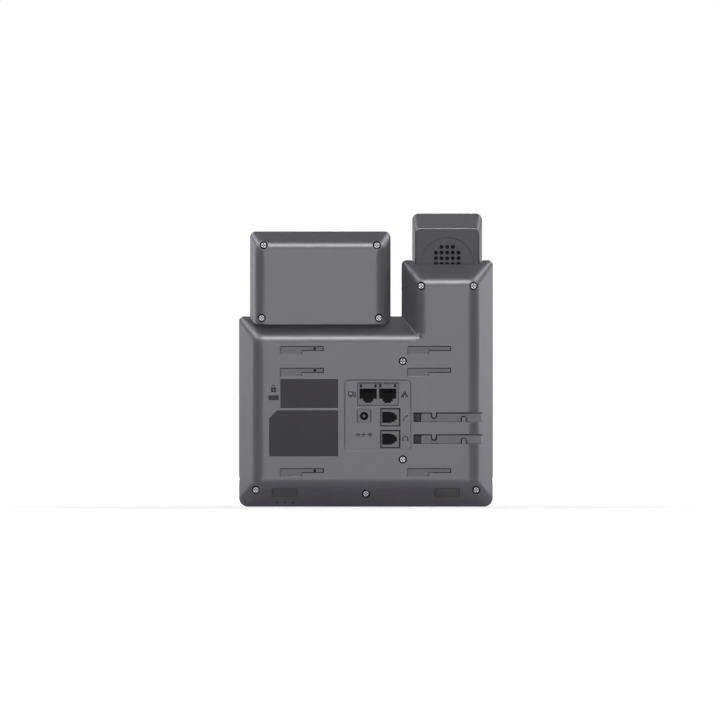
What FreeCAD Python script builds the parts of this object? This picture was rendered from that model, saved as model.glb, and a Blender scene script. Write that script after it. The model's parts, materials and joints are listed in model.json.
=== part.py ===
import FreeCAD, Part
import Sketcher
import os
import re

# A desk telephone for a data network, standing upright on its lower edge, in millimetres.
# X runs across the keypad, Z runs up, the keypad faces -Y and the connectors face +Y.
# Depths are measured from the flat of the back towards the keypad.

SIZES = {
    # Base: a wide lower part with a tower on the handset's side
    "base_width": 183,
    "shoulder_height": 137.2,
    "tower_height": 177.7,
    "base_depth": 31,
    "wall": 2.2,
    "front_skin": 2.5,
    "top_corner": 3.6,
    "foot_corner": 6.5,
    "inner_corner": 0.8,
    "front_edge": 3,
    # Bevelled rim of the back
    "bevel_side": 12.9,
    "bevel_end": 15.1,
    "bevel_depth": 16.5,
    "back_edge": 10.5,
    "back_corner": 7,
    "cavity_corner": 3,
    # Clearances
    "fit_gap": 0.3,
    "pin_gap": 0.05,
    "seat_gap": 0.2,
    "overrun": 1,
    # Slots for a stand, wide where the hook goes in and narrow where it locks
    "slot_right": 30.5,
    "slot_left": -61.2,
    "slot_length": 31.3,
    "slot_mouth": 15.4,
    "slot_width": 5.9,
    "slot_neck": 3.4,
    "slot_depth": 5,
    "slot_upper": 115.6,
    "slot_middle": 99.9,
    "slot_lower": 27.6,
    # Label places and lock slot
    "label_recess": 0.5,
    "label_thickness": 0.4,
    "label_gap": 4.9,
    "upper_label_inset": 30,
    "upper_label_low": 71.1,
    "upper_label_high": 91.8,
    "lower_label_inset": 21.9,
    "lower_label_low": 36.3,
    "lower_label_high": 69.3,
    "label_chamfer": 5.7,
    "lock_inset": 24.9,
    "lock_z": 78.4,
    "lock_width": 7.2,
    "lock_height": 3.3,
    "lock_corner": 0.6,
    # Port panel and its connectors
    "panel_left": -32.4,
    "panel_right": 15.3,
    "panel_low": 40.3,
    "panel_high": 91.4,
    "panel_recess": 0.6,
    "panel_corner": 3,
    "jack_recess": 0.9,
    "jack_bore": 11.5,
    "network_x": -8.6,
    "network_z": 81.05,
    "network_cheek": 1.2,
    "network_height": 16.1,
    "network_pitch": 14,
    "network_mouth": 12.4,
    "network_mouth_low": 77.8,
    "network_mouth_high": 85.1,
    "network_step": 7.4,
    "network_step_low": 76,
    "network_latch": 4.6,
    "network_latch_low": 74.8,
    "lamp_offset": 5.3,
    "lamp_width": 1.5,
    "lamp_low": 85.9,
    "lamp_high": 88.3,
    "lamp_sink": 0.6,
    "modular_x": -17.65,
    "handset_jack_z": 64.4,
    "headset_jack_z": 48.7,
    "modular_width": 13.5,
    "modular_height": 12.5,
    "modular_near": -11.7,
    "modular_mouth": 8,
    "modular_mouth_far": -18.6,
    "modular_step": 6.4,
    "modular_step_far": -20.7,
    "modular_latch": 3.7,
    "modular_latch_far": -22.3,
    "power_x": 1.4,
    "power_z": 65.4,
    "power_wall": 1.7,
    "power_bore": 3,
    "power_pin": 1,
    # Channels for the handset and headset cords
    "channel_start": -34.3,
    "channel_width": 6.8,
    "channel_depth": 5.3,
    "channel_pit_end": -39.7,
    "channel_pit": 1.2,
    "upper_tab": -49,
    "lower_tab": -70.4,
    "tab_width": 2.8,
    "tab_length": 3.6,
    "tab_thickness": 0.9,
    "tab_corner": 1.1,
    # Screws of the housing
    "screw_inset": 12.1,
    "screw_rise": 12.1,
    "middle_screw_rise": 9.4,
    "tower_screw_spacing": 37.7,
    "tower_screw_drop": 18.7,
    "edge_screw_inset": 0.8,
    "edge_screw_upper": 104.8,
    "edge_screw_lower": 34.1,
    "screw_head": 2.3,
    "screw_head_height": 1.8,
    "screw_shank": 1.5,
    "screw_length": 11,
    "screw_cross": 0.7,
    "screw_cross_length": 3.2,
    "screw_cross_depth": 0.9,
    "head_clearance": 0.6,
    "shank_clearance": 0.2,
    "tube_wall": 1.5,
    "boss_wall": 1.8,
    "flat_seat": 3.4,
    "corner_seat": 7.8,
    "middle_seat": 10.8,
    "flat_meet": 10,
    "low_meet": 13,
    # Rubber feet and microphone holes on the lower bevel
    "foot_inset": 33,
    "foot_width": 17.5,
    "foot_start": 10.8,
    "foot_end": 19.4,
    "foot_thickness": 1.4,
    "foot_proud": 0.4,
    "foot_round": 1.5,
    "hole_spacing": 5.6,
    "hole_radius": 0.8,
    "hole_start": 4.5,
    "capsule_radius": 3,
    "capsule_z": 8.2,
    "capsule_back": 13.5,
    "capsule_front": 17,
    # Boards
    "board_thickness": 1.6,
    "main_board_depth": 15.4,
    "board_margin": 7.5,
    "board_step": 5.7,
    "tongue_inset": 4.4,
    "main_board_low": 18,
    "board_drop": 9.2,
    "tongue_low": 40,
    "tongue_high": 92,
    "post_radius": 3,
    "post_inset": 15.5,
    "post_inner_x": 8,
    "post_low": 32.5,
    "post_drop": 17.7,
    "chip_side": 18,
    "chip_height": 1.6,
    "chip_x": 40,
    "chip_z": 84,
    "transformer_width": 16,
    "transformer_height": 13,
    "transformer_depth": 5,
    "transformer_inset": 11.4,
    "transformer_z": 106,
    "board_screw": 1,
    "board_screw_head": 2,
    "board_screw_head_height": 1.4,
    "board_screw_length": 6,
    "keypad_margin": 10.6,
    "keypad_board_low": 16,
    "keypad_drop": 8.2,
    "mat_thickness": 1.2,
    "keypad_post_inset": 4,
    "keypad_post_rise": 9,
    "keypad_post_drop": 19,
    # Handset cradle
    "cradle_gap": 0.8,
    "cradle_rim": 6.9,
    "cradle_corner": 5,
    "well_depth": 9.3,
    "trough_depth": 7,
    "ear_well_length": 31.7,
    "mouth_well_low": 9,
    "mouth_well_high": 71,
    "notch_drop": 3.1,
    "notch_spread": 3.6,
    "notch_slope": 4.4,
    "speaker_drop": 34,
    "speaker_radius": 18,
    "magnet_radius": 11,
    "speaker_rim": 1.8,
    "speaker_depth": 7,
    "grille_slots": 7,
    "grille_pitch": 4,
    "grille_width": 1.8,
    "grille_length": 30,
    "slot_end_flat": 0.2,
    "hook_drop": 8,
    "hook_width": 12,
    "hook_height": 8,
    "hook_lip": 2.5,
    "hook_lip_height": 3,
    "plunger_z": 40,
    "plunger_width": 12,
    "plunger_height": 7,
    "plunger_corner": 3,
    "plunger_travel": 3,
    "plunger_tip_gap": 0.15,
    "plunger_flange": 1.2,
    "plunger_lip": 1.5,
    # Keys of the base
    "key_proud": 1.6,
    "key_edge": 0.7,
    "key_flange": 1.2,
    "key_lip": 1,
    "key_travel": 1.2,
    "key_corner": 2,
    "digit_width": 22,
    "digit_height": 9.5,
    "digit_column": 27,
    "digit_row": 14,
    "digit_drop": 30,
    "function_height": 8.5,
    "function_inset": 12,
    "function_spread": 7,
    "nav_drop": 27.2,
    "nav_radius": 17,
    "nav_inner": 7.8,
    "nav_slit": 0.4,
    "ok_radius": 7.4,
    "bottom_row": 20,
    "rocker_height": 8.5,
    "rocker_gap": 0.5,
    "rocker_back": 3.8,
    "rocker_lug": 12,
    "rocker_rib": 1.4,
    # Display unit, hinged on the shoulder
    "display_gap": 7.95,
    "display_lap": 5.9,
    "display_top_margin": 3.4,
    "display_back": 4,
    "display_rim": 14,
    "display_parting": 17,
    "display_front": 24,
    "display_side_bevel": 5.4,
    "display_top_bevel": 9.4,
    "display_edge": 9.5,
    "display_back_corner": 7,
    "display_corner": 4.4,
    "display_foot_corner": 6.5,
    "display_skin": 2,
    "display_front_edge": 1.2,
    "lip_gap": 1.2,
    "display_cavity_rise": 2.8,
    "barrel_radius": 3,
    "barrel_gap": 0.5,
    "barrel_depth": 21,
    "lug_offset": 30,
    "lug_width": 8,
    "lug_web": 3.6,
    "pin_radius": 1.2,
    "pin_length": 24,
    "lens_gap": 2.5,
    "lens_rise": 5.2,
    "lens_height": 42,
    "lens_thickness": 1.2,
    "lens_corner": 2,
    "lens_frame": 2.5,
    "panel_thickness": 3.2,
    "display_board_inset": 2,
    "display_post_margin": 6,
    "display_post_inset": 7,
    "display_post_radius": 2.2,
    "display_screw_inset": 9.85,
    "display_screw_drop": 10,
    "hinge_screw_inset": 8.45,
    "hinge_screw_drop": 1.2,
    "display_screw_seat": 7.4,
    "hinge_screw_length": 3.6,
    "display_meet": 15,
    "soft_key_rise": 4.1,
    "soft_key_gap": 3,
    "soft_key_height": 4.6,
    "line_key_gap": 0.55,
    "line_key_width": 9.4,
    "line_key_height": 6,
    "line_key_drop": 17,
    "line_key_rise": 10,
    "small_corner": 1,
    "lamp_bar_gap": 0.6,
    "lamp_bar_width": 11,
    "lamp_bar_height": 2.4,
    "lamp_bar_proud": 0.4,
    "lamp_bar_length": 5,
    # Handset
    "handset_rise": 22,
    "handset_width": 50.4,
    "handset_end_gap": 3,
    "handset_overhang": 33.8,
    "handset_corner": 4.6,
    "handset_waist": 3,
    "waist_low": 84,
    "waist_high": 132,
    "waist_run": 24,
    "handset_crown": 3.5,
    "handset_edge": 6,
    "cap_taper": 2,
    "cap_corner": 4,
    "cap_rise": 14,
    "handle_thickness": 4,
    "ear_face_rise": 4,
    "ear_face_drop": 10.8,
    "mouth_face_rise": 8,
    "mouth_face_drop": 6,
    "handset_wall": 2,
    "cap_edge": 1,
    "ear_drop": 36.5,
    "ear_margin": 4.2,
    "ear_dish_sink": 0.5,
    "ear_hole": 1.45,
    "ear_pitch": 4.07,
    "mouth_z": 38,
    "mouth_slot_width": 1.6,
    "mouth_slot_length": 9,
    "mouth_slot_pitch": 4,
    "receiver_inset": 2,
    "receiver_depth": 7,
    "microphone_radius": 4.8,
    "microphone_depth": 5,
    "weight_width": 24,
    "weight_length": 40,
    "weight_depth": 4,
}

doc = FreeCAD.newDocument("DeskPhone")
sheet = doc.addObject("Spreadsheet::Sheet", "Sizes")
for row, (alias, value) in enumerate(SIZES.items(), start=1):
    sheet.set(f"A{row}", str(value))
    sheet.setAlias(f"A{row}", alias)
doc.recompute()

# Places that several pieces share, as formulas of the sizes
BACK = "(base_depth + handset_rise) / 2"
RIGHT = "base_width / 2"
LEFT = "-base_width / 2"
CRADLE_WIDTH = "(handset_width + 2 * cradle_gap)"
TOWER_WIDTH = f"({CRADLE_WIDTH} + 2 * cradle_rim)"
TOWER = f"({TOWER_WIDTH} - base_width / 2)"
DESK = f"{TOWER_WIDTH} / 2"
CRADLE = f"({TOWER_WIDTH} - base_width) / 2"
FOOT = f"({RIGHT} - foot_inset)"
SKIN_BACK = "(base_depth - front_skin)"
WELL_FLOOR = "(base_depth - well_depth)"
PARTING = f"({WELL_FLOOR} - wall)"
TROUGH_FLOOR = "(base_depth - trough_depth)"
KEYPAD_BACK = "(base_depth - front_skin - fit_gap - key_flange - key_travel - fit_gap - mat_thickness)"
KEYPAD_WIDTH = f"(base_width - {TOWER_WIDTH} - 2 * keypad_margin)"
KEYPAD_HIGH = "(shoulder_height - keypad_drop)"
NAV_Z = "(shoulder_height - nav_drop)"
HINGE_Z = "(shoulder_height + barrel_gap + barrel_radius)"
SOFT_KEY_Z = f"({HINGE_Z} + barrel_radius + soft_key_rise)"
LENS_LOW = f"({SOFT_KEY_Z} + lens_rise)"
LENS_HIGH = f"({LENS_LOW} + lens_height)"
DISPLAY_LOW = "(shoulder_height - display_lap)"
DISPLAY_HIGH = f"({LENS_HIGH} + display_top_margin)"
DISPLAY_CAVITY = f"({HINGE_Z} + display_cavity_rise)"
DISPLAY_WIDTH = f"(base_width - {TOWER_WIDTH} - 2 * display_gap)"
LINE_KEY = f"({DISPLAY_WIDTH} / 2 - wall - line_key_gap - key_lip - line_key_width / 2)"
LENS_WIDTH = f"(2 * ({LINE_KEY} - line_key_width / 2 - key_lip - lens_gap))"
LAMP_Z = f"({DISPLAY_HIGH} - wall - lamp_bar_gap - lamp_bar_height / 2)"
DISPLAY_POST = f"({LENS_WIDTH} / 2 - display_post_margin)"
COUNTERBORE = "(screw_head + head_clearance)"
SCREW_TUBE = f"({COUNTERBORE} + tube_wall)"
SCREW_BOSS = "(screw_shank + boss_wall)"
NETWORK_WIDTH = "(network_pitch + network_mouth + 2 * network_cheek)"
POWER_SIDE = "(2 * (power_bore + power_wall))"
EAR_WELL_LOW = "(tower_height - ear_well_length)"
HANDSET_LOW = "(mouth_well_low + handset_end_gap)"
HANDSET_HIGH = "(tower_height + handset_overhang)"
MOUTH_BASE_HIGH = "(mouth_well_high - handset_end_gap)"
CAP_HALF = "(handset_width / 2 - cap_taper)"
EAR_Z = f"({HANDSET_HIGH} - ear_drop)"
EAR_DISH = f"({CAP_HALF} - ear_margin)"
HOOK_Z = f"({EAR_WELL_LOW} - hook_drop)"
SPEAKER_Z = f"({EAR_WELL_LOW} - speaker_drop)"
CAP_FACE = f"({WELL_FLOOR} + fit_gap)"
CAP_BASE = f"({CAP_FACE} + cap_rise)"
HANDSET_PARTING = f"({CAP_BASE} + handle_thickness)"
HANDSET_TOP = "(base_depth + handset_rise)"
BEVEL_LENGTH = "sqrt(bevel_end ^ 2 + bevel_depth ^ 2)"
DISPLAY_BOARD = "(display_front - display_skin - seat_gap - panel_thickness)"

SUB_PARTS = []


def formula(text):
    """Puts the sheet's name before each size that a formula names."""
    def full_name(match):
        word = match.group(0)
        return f"Sizes.{word}" if word in SIZES else word
    return re.sub(r"[a-z][a-z0-9_]*", full_name, str(text))


def number(text):
    """Present value of a formula, used to draw a sketch near its final place."""
    return float(sheet.evalExpression(formula(text)))


def bind(thing, **formulas):
    """Ties properties to formulas of the sheet, with _ for the dots of a property's path."""
    for path, text in formulas.items():
        thing.setExpression(path.replace("_", "."), formula(text))


def sub_part(label, thing):
    """Names a finished piece, which becomes a file of its own."""
    thing.Label = label
    SUB_PARTS.append(thing)
    return thing


def draw_outline(sketch, corners):
    """Closed outline through corners (across, up, radius); a rounded corner joins level and upright sides."""
    count = len(corners)
    points = [FreeCAD.Vector(number(across), number(up), 0) for across, up, _ in corners]
    lines = []
    for index in range(count):
        start, end = points[index], points[(index + 1) % count]
        heading = (end - start).normalize()
        start = start + heading * number(corners[index][2])
        end = end - heading * number(corners[(index + 1) % count][2])
        lines.append(Part.LineSegment(start, end))
    sketch.addGeometry(lines)
    for index, (across, up, radius) in enumerate(corners):
        before, after = (index - 1) % count, index
        if radius == "0":
            pin_point(sketch, after, 1, across, up)
            sketch.addConstraint(Sketcher.Constraint("Coincident", before, 2, after, 1))
            continue
        corner = points[index]
        arrive, leave = lines[before].EndPoint, lines[after].StartPoint
        pin_point(sketch, before, 2, *beside(across, up, radius, arrive - corner))
        pin_point(sketch, after, 1, *beside(across, up, radius, leave - corner))
        draw_corner(sketch, corner, before, after, arrive, leave, radius)


def beside(across, up, radius, step):
    """Formulas of the point one radius away from a corner, along the given step."""
    signs = [round(part / step.Length) for part in (step.x, step.y)]
    return tuple(f"({place}) + ({sign}) * ({radius})" for place, sign in zip((across, up), signs))


def pin_point(sketch, line, end, across, up):
    """Holds one end of a line at a place given by two formulas."""
    for kind, text in (("DistanceX", across), ("DistanceY", up)):
        constraint = Sketcher.Constraint(kind, -1, 1, line, end, number(text))
        index = sketch.addConstraint(constraint)
        sketch.setExpression(f"Constraints[{index}]", formula(text))


def draw_corner(sketch, corner, before, after, arrive, leave, radius):
    """Arc that rounds a corner between the end of one line and the start of the next."""
    middle = arrive + leave - corner
    inward = (corner - middle).normalize()
    arc = sketch.addGeometry(Part.Arc(arrive, middle + inward * number(radius), leave))
    first = 1 if (sketch.getPoint(arc, 1) - arrive).Length < (sketch.getPoint(arc, 2) - arrive).Length else 2
    sketch.addConstraint(Sketcher.Constraint("Coincident", before, 2, arc, first))
    sketch.addConstraint(Sketcher.Constraint("Coincident", after, 1, arc, 3 - first))
    size = sketch.addConstraint(Sketcher.Constraint("Radius", arc, number(radius)))
    sketch.setExpression(f"Constraints[{size}]", formula(radius))


def prism(corners, start, end):
    """Outline in X and Z, carried from one depth to another."""
    sketch = doc.addObject("Sketcher::SketchObject", "Outline")
    sketch.Placement.Rotation = FreeCAD.Rotation(FreeCAD.Vector(1, 0, 0), 90)
    bind(sketch, Placement_Base_y=f"{BACK} - ({start})")
    draw_outline(sketch, corners)
    solid = doc.addObject("Part::Extrusion", "Prism")
    solid.Base = sketch
    solid.DirMode = "Normal"
    solid.Solid = True
    bind(solid, LengthFwd=f"({end}) - ({start})")
    return solid


def side_prism(points, low, high):
    """Outline in depth and Z, carried across from one X to another."""
    sketch = doc.addObject("Sketcher::SketchObject", "SideOutline")
    sketch.Placement.Rotation = FreeCAD.Rotation(FreeCAD.Vector(1, 1, 1), 120)
    bind(sketch, Placement_Base_x=low)
    draw_outline(sketch, [(f"{BACK} - ({depth})", up, "0") for depth, up in points])
    solid = doc.addObject("Part::Extrusion", "SidePrism")
    solid.Base = sketch
    solid.DirMode = "Normal"
    solid.Solid = True
    bind(solid, LengthFwd=f"({high}) - ({low})")
    return solid


def rectangle(left, right, low, high, radius="0"):
    """Corners of an upright rectangle with equal corner radii."""
    return [(right, low, radius), (right, high, radius), (left, high, radius), (left, low, radius)]


def gate(left, right, low, high, radius):
    """Corners of an upright rectangle that is rounded at its top only."""
    return [(right, low, "0"), (right, high, radius), (left, high, radius), (left, low, "0")]


def plate(x, z, width, height, radius, start, end):
    """Rounded rectangle about a middle, carried from one depth to another."""
    sides = (f"{x} - ({width}) / 2", f"{x} + ({width}) / 2")
    ends = (f"{z} - ({height}) / 2", f"{z} + ({height}) / 2")
    return prism(rectangle(*sides, *ends, radius), start, end)


def block(left, right, low, high, start, end):
    """Square-edged block between two values of X, of Z and of depth."""
    solid = doc.addObject("Part::Box", "Block")
    bind(solid, Length=f"({right}) - ({left})", Width=f"({end}) - ({start})", Height=f"({high}) - ({low})")
    bind(solid, Placement_Base_x=left, Placement_Base_y=f"{BACK} - ({end})", Placement_Base_z=low)
    return solid


def disc(radius, x, z, start, end):
    """Round bar along the depth."""
    solid = doc.addObject("Part::Cylinder", "Disc")
    solid.Placement.Rotation = FreeCAD.Rotation(FreeCAD.Vector(1, 0, 0), 90)
    bind(solid, Radius=radius, Height=f"({end}) - ({start})")
    bind(solid, Placement_Base_x=x, Placement_Base_y=f"{BACK} - ({start})", Placement_Base_z=z)
    return solid


def rod(radius, depth, z, low, high):
    """Round bar across, from one X to another."""
    solid = doc.addObject("Part::Cylinder", "Rod")
    solid.Placement.Rotation = FreeCAD.Rotation(FreeCAD.Vector(0, 1, 0), 90)
    bind(solid, Radius=radius, Height=f"({high}) - ({low})")
    bind(solid, Placement_Base_x=low, Placement_Base_y=f"{BACK} - ({depth})", Placement_Base_z=z)
    return solid


def join(*pieces):
    """One solid from pieces that meet or overlap."""
    if len(pieces) == 1:
        return pieces[0]
    whole = doc.addObject("Part::MultiFuse", "Joined")
    whole.Shapes = list(pieces)
    return whole


def cut(base, *tools):
    """A piece with other shapes taken away from it."""
    whole = doc.addObject("Part::Cut", "Trimmed")
    whole.Base = base
    whole.Tool = join(*tools)
    return whole


def overlap(first, second):
    """What two shapes have in common."""
    whole = doc.addObject("Part::Common", "Shared")
    whole.Base = first
    whole.Tool = second
    return whole


def group(*pieces):
    """Separate solids of one kind, kept side by side."""
    whole = doc.addObject("Part::Compound", "Group")
    whole.Links = list(pieces)
    return whole


def round_edges(base, radius, chosen):
    """Rounds the edges of a piece for which chosen says yes."""
    doc.recompute()
    shape = base.Shape
    rounded = doc.addObject("Part::Fillet", "Rounded")
    rounded.Base = base
    size = number(radius)
    rounded.Edges = [(i, size, size) for i, edge in enumerate(shape.Edges, start=1) if chosen(edge, shape)]
    return rounded


def on_front(edge, shape):
    """True for an edge in the plane nearest to the keypad's user."""
    return edge.BoundBox.YMax < shape.BoundBox.YMin + 0.001


def on_back(edge, shape):
    """True for an edge in the plane furthest from the keypad's user."""
    return edge.BoundBox.YMin > shape.BoundBox.YMax - 0.001


def above_foot(edge, shape):
    """True for an edge that isn't the level one at the foot of a shape."""
    return edge.BoundBox.ZMax > shape.BoundBox.ZMin + 0.1


def body_sketch(body, corners, depth):
    """Outline of a body, at a depth."""
    sketch = body.newObject("Sketcher::SketchObject", "BodyOutline")
    plane = next(feature for feature in body.Origin.OriginFeatures if feature.Role == "XZ_Plane")
    sketch.AttachmentSupport = [(plane, "")]
    sketch.MapMode = "FlatFace"
    bind(sketch, AttachmentOffset_Base_z=f"({depth}) - {BACK}")
    draw_outline(sketch, corners)
    return sketch


def bevelled_body(name, rim, rim_depth, back, back_depth, front_depth):
    """Straight wall from the front to the rim, then a ruled bevel from the rim to the back."""
    body = doc.addObject("PartDesign::Body", name)
    straight = body.newObject("PartDesign::Pad", "Straight")
    straight.Profile = body_sketch(body, rim, rim_depth)
    bind(straight, Length=f"({front_depth}) - ({rim_depth})")
    bevel = body.newObject("PartDesign::AdditiveLoft", "Bevel")
    bevel.Profile = body_sketch(body, rim, rim_depth)
    bevel.Sections = [body_sketch(body, back, back_depth)]
    bevel.Ruled = True
    return body


def body_fillet(body, radius, chosen):
    """Rounds edges of a body's newest feature with a radius tied to the sheet."""
    doc.recompute()
    last = body.Tip
    shape = last.Shape
    names = [f"Edge{i}" for i, edge in enumerate(shape.Edges, start=1) if chosen(edge, shape)]
    fillet = body.newObject("PartDesign::Fillet", "RoundedEdge")
    fillet.Base = (last, names)
    bind(fillet, Radius=radius)
    return body


def base_outline(side, end, top, foot, inner):
    """L-shaped outline of the base, drawn in by side across and by end up and down."""
    return [
        (f"{RIGHT} - ({side})", f"{end}", foot),
        (f"{RIGHT} - ({side})", f"shoulder_height - ({end})", top),
        (f"{TOWER} - ({side})", f"shoulder_height - ({end})", inner),
        (f"{TOWER} - ({side})", f"tower_height - ({end})", top),
        (f"{LEFT} + ({side})", f"tower_height - ({end})", top),
        (f"{LEFT} + ({side})", f"{end}", foot),
    ]


# Screws of the housing: place, depth of the seat under the head, and depth where the two bosses meet
HOUSING_SCREWS = [
    (f"{RIGHT} - screw_inset", "screw_rise", "corner_seat", "low_meet"),
    (f"{LEFT} + screw_inset", "screw_rise", "corner_seat", "low_meet"),
    ("0", "middle_screw_rise", "middle_seat", "low_meet"),
    (f"{CRADLE} + tower_screw_spacing / 2", "tower_height - tower_screw_drop", "flat_seat", "flat_meet"),
    (f"{CRADLE} - tower_screw_spacing / 2", "tower_height - tower_screw_drop", "flat_seat", "flat_meet"),
    (f"{TOWER} - edge_screw_inset", "edge_screw_upper", "flat_seat", "flat_meet"),
    (f"{TOWER} - edge_screw_inset", "edge_screw_lower", "flat_seat", "flat_meet"),
]

# Screws of the display: place and length
DISPLAY_SCREW = f"({DISPLAY_WIDTH} / 2 - display_screw_inset)"
DISPLAY_SCREW_Z = f"{DISPLAY_HIGH} - display_screw_drop"
HINGE_SCREW = f"({DISPLAY_WIDTH} / 2 - hinge_screw_inset)"
HINGE_SCREW_Z = "shoulder_height - hinge_screw_drop"
DISPLAY_SCREWS = [
    (f"{DESK} + {DISPLAY_SCREW}", DISPLAY_SCREW_Z, "screw_length"),
    (f"{DESK} - {DISPLAY_SCREW}", DISPLAY_SCREW_Z, "screw_length"),
    (f"{DESK} + {HINGE_SCREW}", HINGE_SCREW_Z, "hinge_screw_length"),
    (f"{DESK} - {HINGE_SCREW}", HINGE_SCREW_Z, "hinge_screw_length"),
]

MAIN_POSTS = [
    (f"{RIGHT} - post_inset", "post_low"),
    (f"{RIGHT} - post_inset", "shoulder_height - post_drop"),
    ("post_inner_x", "post_low"),
    ("post_inner_x", "shoulder_height - post_drop"),
]

KEYPAD_POSTS = [
    (f"{DESK} + {KEYPAD_WIDTH} / 2 - keypad_post_inset", "bottom_row + keypad_post_rise"),
    (f"{DESK} - {KEYPAD_WIDTH} / 2 + keypad_post_inset", "bottom_row + keypad_post_rise"),
    (f"{DESK} + {KEYPAD_WIDTH} / 2 - keypad_post_inset", f"{NAV_Z} - keypad_post_drop"),
    (f"{DESK} - {KEYPAD_WIDTH} / 2 + keypad_post_inset", f"{NAV_Z} - keypad_post_drop"),
]

# Push keys of the base: place, width and height
DIGITS = ["key_1", "key_2", "key_3", "key_4", "key_5", "key_6", "key_7", "key_8", "key_9",
          "key_star", "key_0", "key_hash"]
FUNCTION = f"({KEYPAD_WIDTH} / 2 - function_inset)"
UPPER, LOWER = f"{NAV_Z} + function_spread", f"{NAV_Z} - function_spread"
BASE_KEYS = {
    "headset_key": (f"{DESK} - {FUNCTION}", UPPER, "digit_width", "function_height"),
    "mute_key": (f"{DESK} - {FUNCTION}", LOWER, "digit_width", "function_height"),
    "hold_key": (f"{DESK} + {FUNCTION}", UPPER, "digit_width", "function_height"),
    "transfer_key": (f"{DESK} + {FUNCTION}", LOWER, "digit_width", "function_height"),
    "speaker_key": (f"{DESK} + digit_column", "bottom_row", "digit_width", "function_height"),
}
for place, digit in enumerate(DIGITS):
    line, column = divmod(place, 3)
    BASE_KEYS[digit] = (f"{DESK} + ({column - 1}) * digit_column",
                        f"{NAV_Z} - digit_drop - {line} * digit_row", "digit_width", "digit_height")

LINE_HIGH, LINE_LOW = f"{LENS_HIGH} - line_key_drop", f"{LENS_LOW} + line_key_rise"
DISPLAY_KEYS = {
    "line_key_1": (f"{DESK} - {LINE_KEY}", LINE_HIGH, "line_key_width", "line_key_height"),
    "line_key_2": (f"{DESK} - {LINE_KEY}", LINE_LOW, "line_key_width", "line_key_height"),
    "line_key_3": (f"{DESK} + {LINE_KEY}", LINE_HIGH, "line_key_width", "line_key_height"),
    "line_key_4": (f"{DESK} + {LINE_KEY}", LINE_LOW, "line_key_width", "line_key_height"),
}
for place in range(4):
    DISPLAY_KEYS[f"soft_key_{place + 1}"] = (f"{DESK} + ({place - 1.5}) * {LENS_WIDTH} / 4", SOFT_KEY_Z,
                                             f"{LENS_WIDTH} / 4 - soft_key_gap", "soft_key_height")

NAV_KEYS = {"nav_up": (0, 1), "nav_down": (0, -1), "nav_left": (-1, 0), "nav_right": (1, 0)}


def on_bevel(solid, x, along, inward):
    """Turns a solid to lie on the lower bevel, a distance along its slope and a depth into it."""
    solid.Placement.Rotation = FreeCAD.Rotation(FreeCAD.Vector(1, 0, 0), 0)
    bind(solid, Placement_Rotation_Angle="atan2(bevel_end; bevel_depth)", Placement_Base_x=x)
    bind(solid,
         Placement_Base_y=f"{BACK} - bevel_depth + (({along}) * bevel_depth - ({inward}) * bevel_end)"
                          f" / {BEVEL_LENGTH}",
         Placement_Base_z=f"(({along}) * bevel_end + ({inward}) * bevel_depth) / {BEVEL_LENGTH}")
    return solid


def foot_pad(x, grow):
    """Rubber pad on the lower bevel, or the pocket for it when grown by a clearance."""
    pad = doc.addObject("Part::Box", "FootPad")
    bind(pad, Length=f"foot_width + 2 * ({grow})", Width=f"foot_end - foot_start + 2 * ({grow})",
         Height="foot_thickness")
    on_bevel(pad, f"({x}) - foot_width / 2 - ({grow})", f"foot_start - ({grow})", "-foot_proud")
    thickness = number("foot_thickness")
    return round_edges(pad, f"foot_round + ({grow})",
                       lambda edge, shape: abs(edge.Length - thickness) < 0.001)


def stand_slot(left, top):
    """L-shaped slot: a wide mouth at its right end and a neck along its top edge."""
    right = f"{left} + slot_length"
    low = f"{top} - slot_width"
    neck = f"{top} - slot_neck"
    mouth = f"{right} - slot_mouth"
    corners = [(right, low, "0"), (right, top, "0"), (left, top, "0"), (left, neck, "0"),
               (mouth, neck, "0"), (mouth, low, "0")]
    return prism(corners, "-overrun", "slot_depth")


def cord_channel(z):
    """Open channel that leads a cord out through the side bevel, with two tabs that hold it in."""
    low = f"{z} - channel_width / 2"
    high = f"{z} + channel_width / 2"
    run = block(f"{LEFT} - overrun", "channel_start", low, high, "-overrun", "channel_depth")
    pit = block("channel_pit_end", "channel_start", low, high, "-overrun", "channel_depth + channel_pit")
    tabs = [plate(x, edge, "tab_width", "2 * tab_length", "tab_corner", "-overrun", "tab_thickness")
            for x, edge in (("upper_tab", high), ("lower_tab", low))]
    return cut(join(run, pit), *tabs)


def network_opening(x, start, end):
    """Mouth of one network port, narrowing in two steps towards its latch."""
    return join(
        block(f"{x} - network_mouth / 2", f"{x} + network_mouth / 2",
              "network_mouth_low", "network_mouth_high", start, end),
        block(f"{x} - network_step / 2", f"{x} + network_step / 2",
              "network_step_low", "network_mouth_low + overrun", start, end),
        block(f"{x} - network_latch / 2", f"{x} + network_latch / 2",
              "network_latch_low", "network_step_low + overrun", start, end))


def modular_opening(z, start, end):
    """Mouth of one four-wire port, lying on its side with the latch towards the cord channel."""
    return join(
        block("modular_mouth_far", "modular_near",
              f"{z} - modular_mouth / 2", f"{z} + modular_mouth / 2", start, end),
        block("modular_step_far", "modular_mouth_far + overrun",
              f"{z} - modular_step / 2", f"{z} + modular_step / 2", start, end),
        block("modular_latch_far", "modular_step_far + overrun",
              f"{z} - modular_latch / 2", f"{z} + modular_latch / 2", start, end))


def label_outlines():
    """Outlines of the two label places; the lower one has a cut corner."""
    inner = "panel_right + label_gap"
    outer = f"{RIGHT} - lower_label_inset"
    upper = rectangle(inner, f"{RIGHT} - upper_label_inset", "upper_label_low", "upper_label_high")
    lower = [(outer, "lower_label_low", "0"), (outer, "lower_label_high - label_chamfer", "0"),
             (f"{outer} - label_chamfer", "lower_label_high", "0"),
             (inner, "lower_label_high", "0"), (inner, "lower_label_low", "0")]
    return [upper, lower]


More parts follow.
